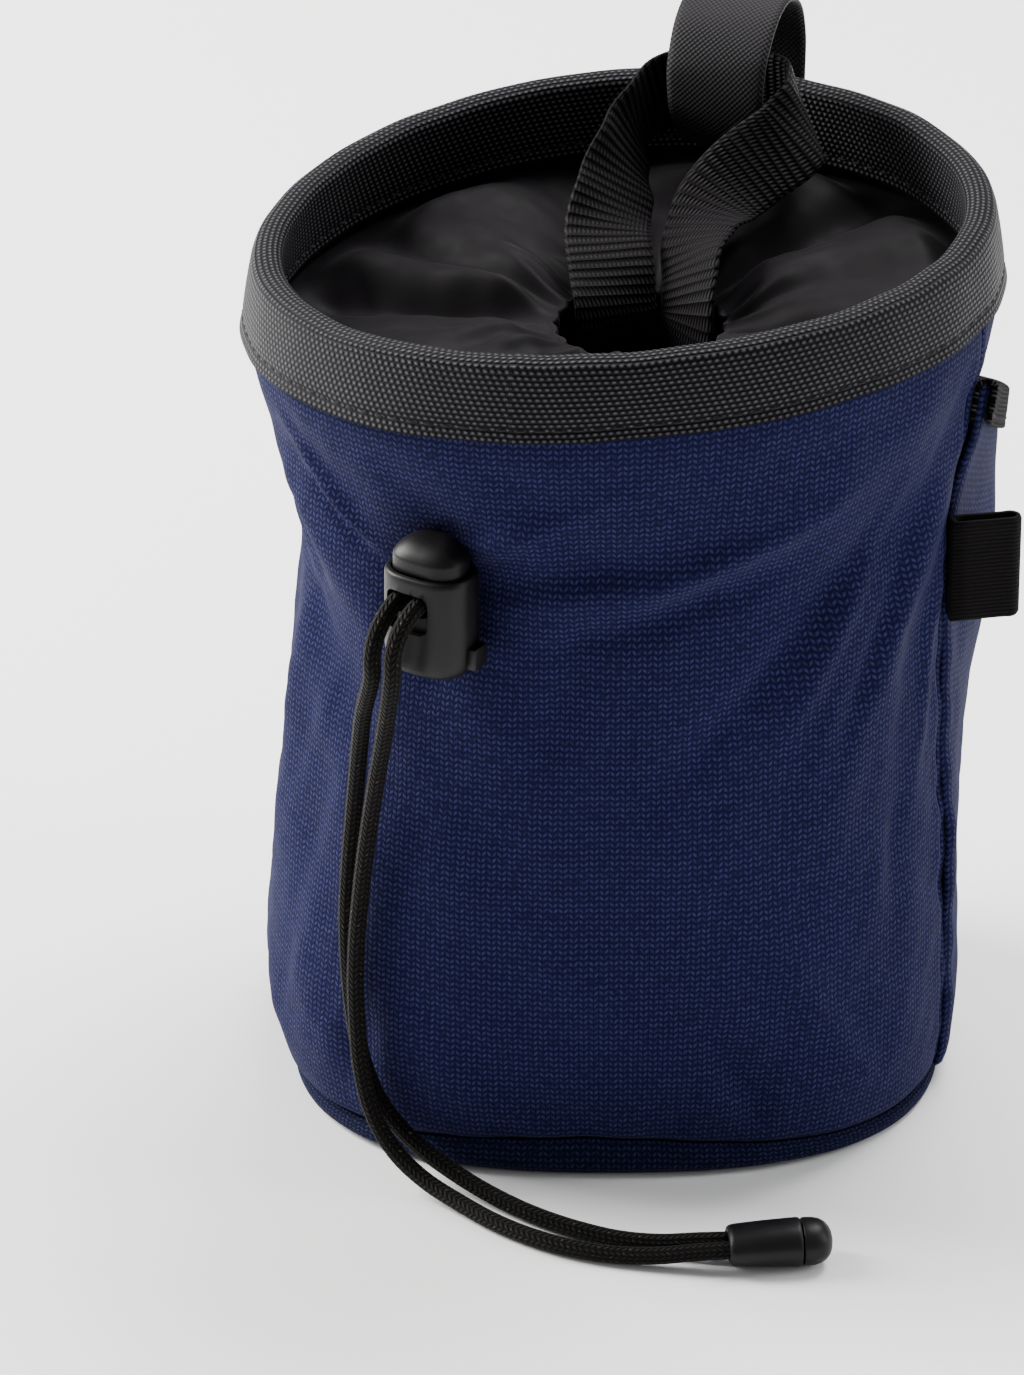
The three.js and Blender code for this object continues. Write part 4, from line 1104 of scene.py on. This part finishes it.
def cord_lock():
    top = LOCK_LOW + LOCK_HEIGHT
    rings = [lock_ring(LOCK_HALF_WIDE - i, LOCK_HALF_DEEP - i, LOCK_LOW + h) for i, h in (
        (3.4, 0.0), (2.2, 0.12), (1.3, 0.55), (0.7, 1.2), (0.3, 2.1), (0.08, 3.2), (0.0, 4.5), (0.0, 9.0),
        (0.0, 14.0), (0.0, 18.2), (0.05, 18.9), (0.25, 19.3), (0.55, 19.5))]
    body = solid("lock_barrel", rings)
    wide, deep = LOCK_HALF_WIDE - LOCK_WALL, LOCK_HALF_DEEP - LOCK_WALL
    well = solid("well", [lock_ring(wide, deep, LOCK_LOW + LOCK_FLOOR), lock_ring(wide, deep, top + 1)])
    front = window("front_window", WINDOW_WIDE, WINDOW_LOW, WINDOW_LOW + 7.6, -13, 0)
    rear = window("rear_window", WINDOW_WIDE, WINDOW_LOW, WINDOW_LOW + 8.6, 0, 13)
    carve(body, [well, front, rear])
    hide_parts("cord_lock_body")
    outline = [(7.2, -1.0), (9.4, -1.0), (9.6, -0.8), (9.6, 2.8), (9.4, 3.0), (7.2, 3.0)]
    lug = solid("lock_lug", [[[x, y, LOCK_LOW + height] for x, y in outline] for height in (2, 6)])
    carve(lug, [])
    low = LOCK_LOW + LOCK_FLOOR + GAP + BUTTON_TRAVEL
    rim = top + BUTTON_PROUD
    profile = [(0.25, low), (0.0, low + 0.3), (0.0, rim - 0.5), (0.06, rim - 0.1), (0.22, rim + 0.15),
               (0.5, rim + 0.6), (0.9, rim + 1.1), (1.4, rim + 1.55), (2.1, rim + 2.05), (3.0, rim + 2.5),
               (4.0, rim + 2.8), (5.0, rim + 2.97)]
    wide, deep = wide - BUTTON_PLAY, deep - BUTTON_PLAY
    rings = [lock_ring(wide - i, max(0.25, deep - i * 0.92), h) + np.array([0, 0.32 * max(0, i - 0.4), 0])
             for i, h in profile]
    button = solid("lock_plunger", rings, body=BUTTON)
    slot_low = CORD_HEIGHT - CORD / 2 - GAP - 0.9
    slot_high = CORD_HEIGHT + CORD / 2 + GAP + 0.6 + BUTTON_TRAVEL
    slot = window("slot", SLOT_WIDE, slot_low, slot_high, -13, 13)
    carve(button, [slot])
    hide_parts("cord_lock_button")


# Cords
CORD_STEPS = 10
CORD_SIDES = 20


def tube(name, node, points):
    line = catmull(points, CORD_STEPS)
    along = unit(np.gradient(line, axis=0))
    normal = np.zeros_like(line)
    n = unit(np.cross(along[0], [0.1, 0.2, 1.0]))
    for i, a in enumerate(along):
        n = unit(n - a * np.dot(a, n))
        normal[i] = n
    other = np.cross(along, normal)
    travel = travel_along(line)
    turn = np.linspace(0, 2 * math.pi, CORD_SIDES, endpoint=False)
    ring = normal[:, None] * np.cos(turn)[None, :, None] + other[:, None] * np.sin(turn)[None, :, None]
    mesh_points = line[:, None] + ring * CORD / 2
    uv = pairs(travel, np.linspace(0, 1, CORD_SIDES + 1))[..., ::-1]
    piece = grid(name, mesh_points, uv, CORD_BRAID, close_j=True, caps=True)
    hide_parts(node)
    return piece, line, float(travel[-1])


# End of the cord
BELL_LENGTH = 13
BELL_HALF_WIDE = 4.9
BELL_HALF_TALL = 4.25
BELL_TURN = 23.8
BELL_START = np.array([43.1, -72.6, BELL_HALF_TALL + 0.05])
BORE_DEPTH = 7
BORE_HALF_WIDE = 3.9
BORE_HALF_TALL = 2.2


def cord_end():
    def placed(points):
        return swung(points, BELL_TURN) + BELL_START

    def oval(along, wide, tall):
        a = np.linspace(0, 2 * math.pi, 64, endpoint=False)
        return np.stack([along + 0 * a, wide * np.cos(a), tall * np.sin(a)], -1)

    def part(name, rows):
        """A round of ovals, each with its place along and shares of the half width and height."""
        rings = [oval(along, wide * BELL_HALF_WIDE, tall * BELL_HALF_TALL) for along, wide, tall in rows]
        return solid(name, rings, place=placed)

    rows = [(0.0, 0.80, 0.60), (0.12, 0.87, 0.68), (0.45, 0.92, 0.76), (1.0, 0.94, 0.80), (3.0, 0.955, 0.85),
            (6.5, 0.975, 0.92), (10.0, 0.99, 0.97), (12.3, 0.995, 0.99), (12.8, 0.985, 0.98),
            (BELL_LENGTH, 0.96, 0.95)]
    bell_piece = part("end_bell", rows)
    ends = [oval(along, BORE_HALF_WIDE, BORE_HALF_TALL) for along in (-1, BORE_DEPTH)]
    bore = solid("bore", ends, place=placed)
    carve(bell_piece, [bore])
    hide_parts("cord_end_bell")
    rows = [(0.0, 0.93), (0.15, 0.965), (0.5, 0.975), (2.0, 0.965), (3.2, 0.90), (4.1, 0.78), (4.8, 0.60),
            (5.2, 0.40), (5.38, 0.20), (5.4, 0.08)]
    cap = part("end_cap", [(BELL_LENGTH + GAP + along, share, share) for along, share in rows])
    carve(cap, [])
    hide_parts("cord_end_cap")
    return bell_piece, cap


def cords():
    bell_piece, cap = cord_end()
    strands = (("strand_left", "cord_left", STRAND_LEFT), ("strand_right", "cord_right", STRAND_RIGHT))
    for name, node, points in strands:
        piece, line, length = tube(name, node, points)
    tube("held_left", "drawcord_left", HELD_LEFT)
    tube("held_right", "drawcord_right", HELD_RIGHT)


# Floor and lights
def stage():
    g = Graph("floor", 0.85, specular=0.2)
    shade = g.noise(0.004, 3.0, space="object")
    g.color(g.blend(shade, (0.93, 0.93, 0.93), (0.96, 0.96, 0.96)), (0.95, 0.95, 0.95))
    bpy.ops.mesh.primitive_plane_add(size=6, location=(0, 0, 0))
    floor = bpy.context.active_object
    floor.name = "floor"
    floor.data.uv_layers[0].name = "mm"
    floor.data.materials.append(g.material)
    world = bpy.data.worlds.new("world")
    bpy.context.scene.world = world
    world.use_nodes = True
    sky = world.node_tree.nodes["Background"].inputs
    sky[0].default_value = (1.0, 1.0, 1.0, 1)
    sky[1].default_value = WORLD_LIGHT
    for name, place, size, power, color in LIGHTS:
        data = bpy.data.lights.new(name, "AREA")
        data.shape = "RECTANGLE"
        data.size, data.size_y = size
        data.energy = power
        data.color = color
        aimed(name, data, place, LIT_PLACE - Vector(place))


WORLD_LIGHT = 0.40
LIT_PLACE = Vector((0, 0, 0.08))
# Name, place in metres, size, power in watts, colour
LIGHTS = [
    ("left_box", (-1.05, 0.05, 0.70), (0.6, 0.8), 46, (1.0, 0.99, 0.97)),
    ("top_box", (0.15, 0.65, 1.25), (0.9, 0.7), 34, (1.0, 1.0, 1.0)),
    ("right_box", (1.05, 0.25, 0.55), (0.3, 0.8), 7, (0.98, 0.99, 1.0)),
]

camera()
cords()
shell_panel("shell_front", "front_panel", -90, 90)
shell_panel("shell_rear", "rear_panel", 90, 270)
base_cup()
rim_binding()
collar()
hang_loop()
waist_belt()
rear_pocket()
pocket_binding()
brush_loop()
cord_lock()
stage()
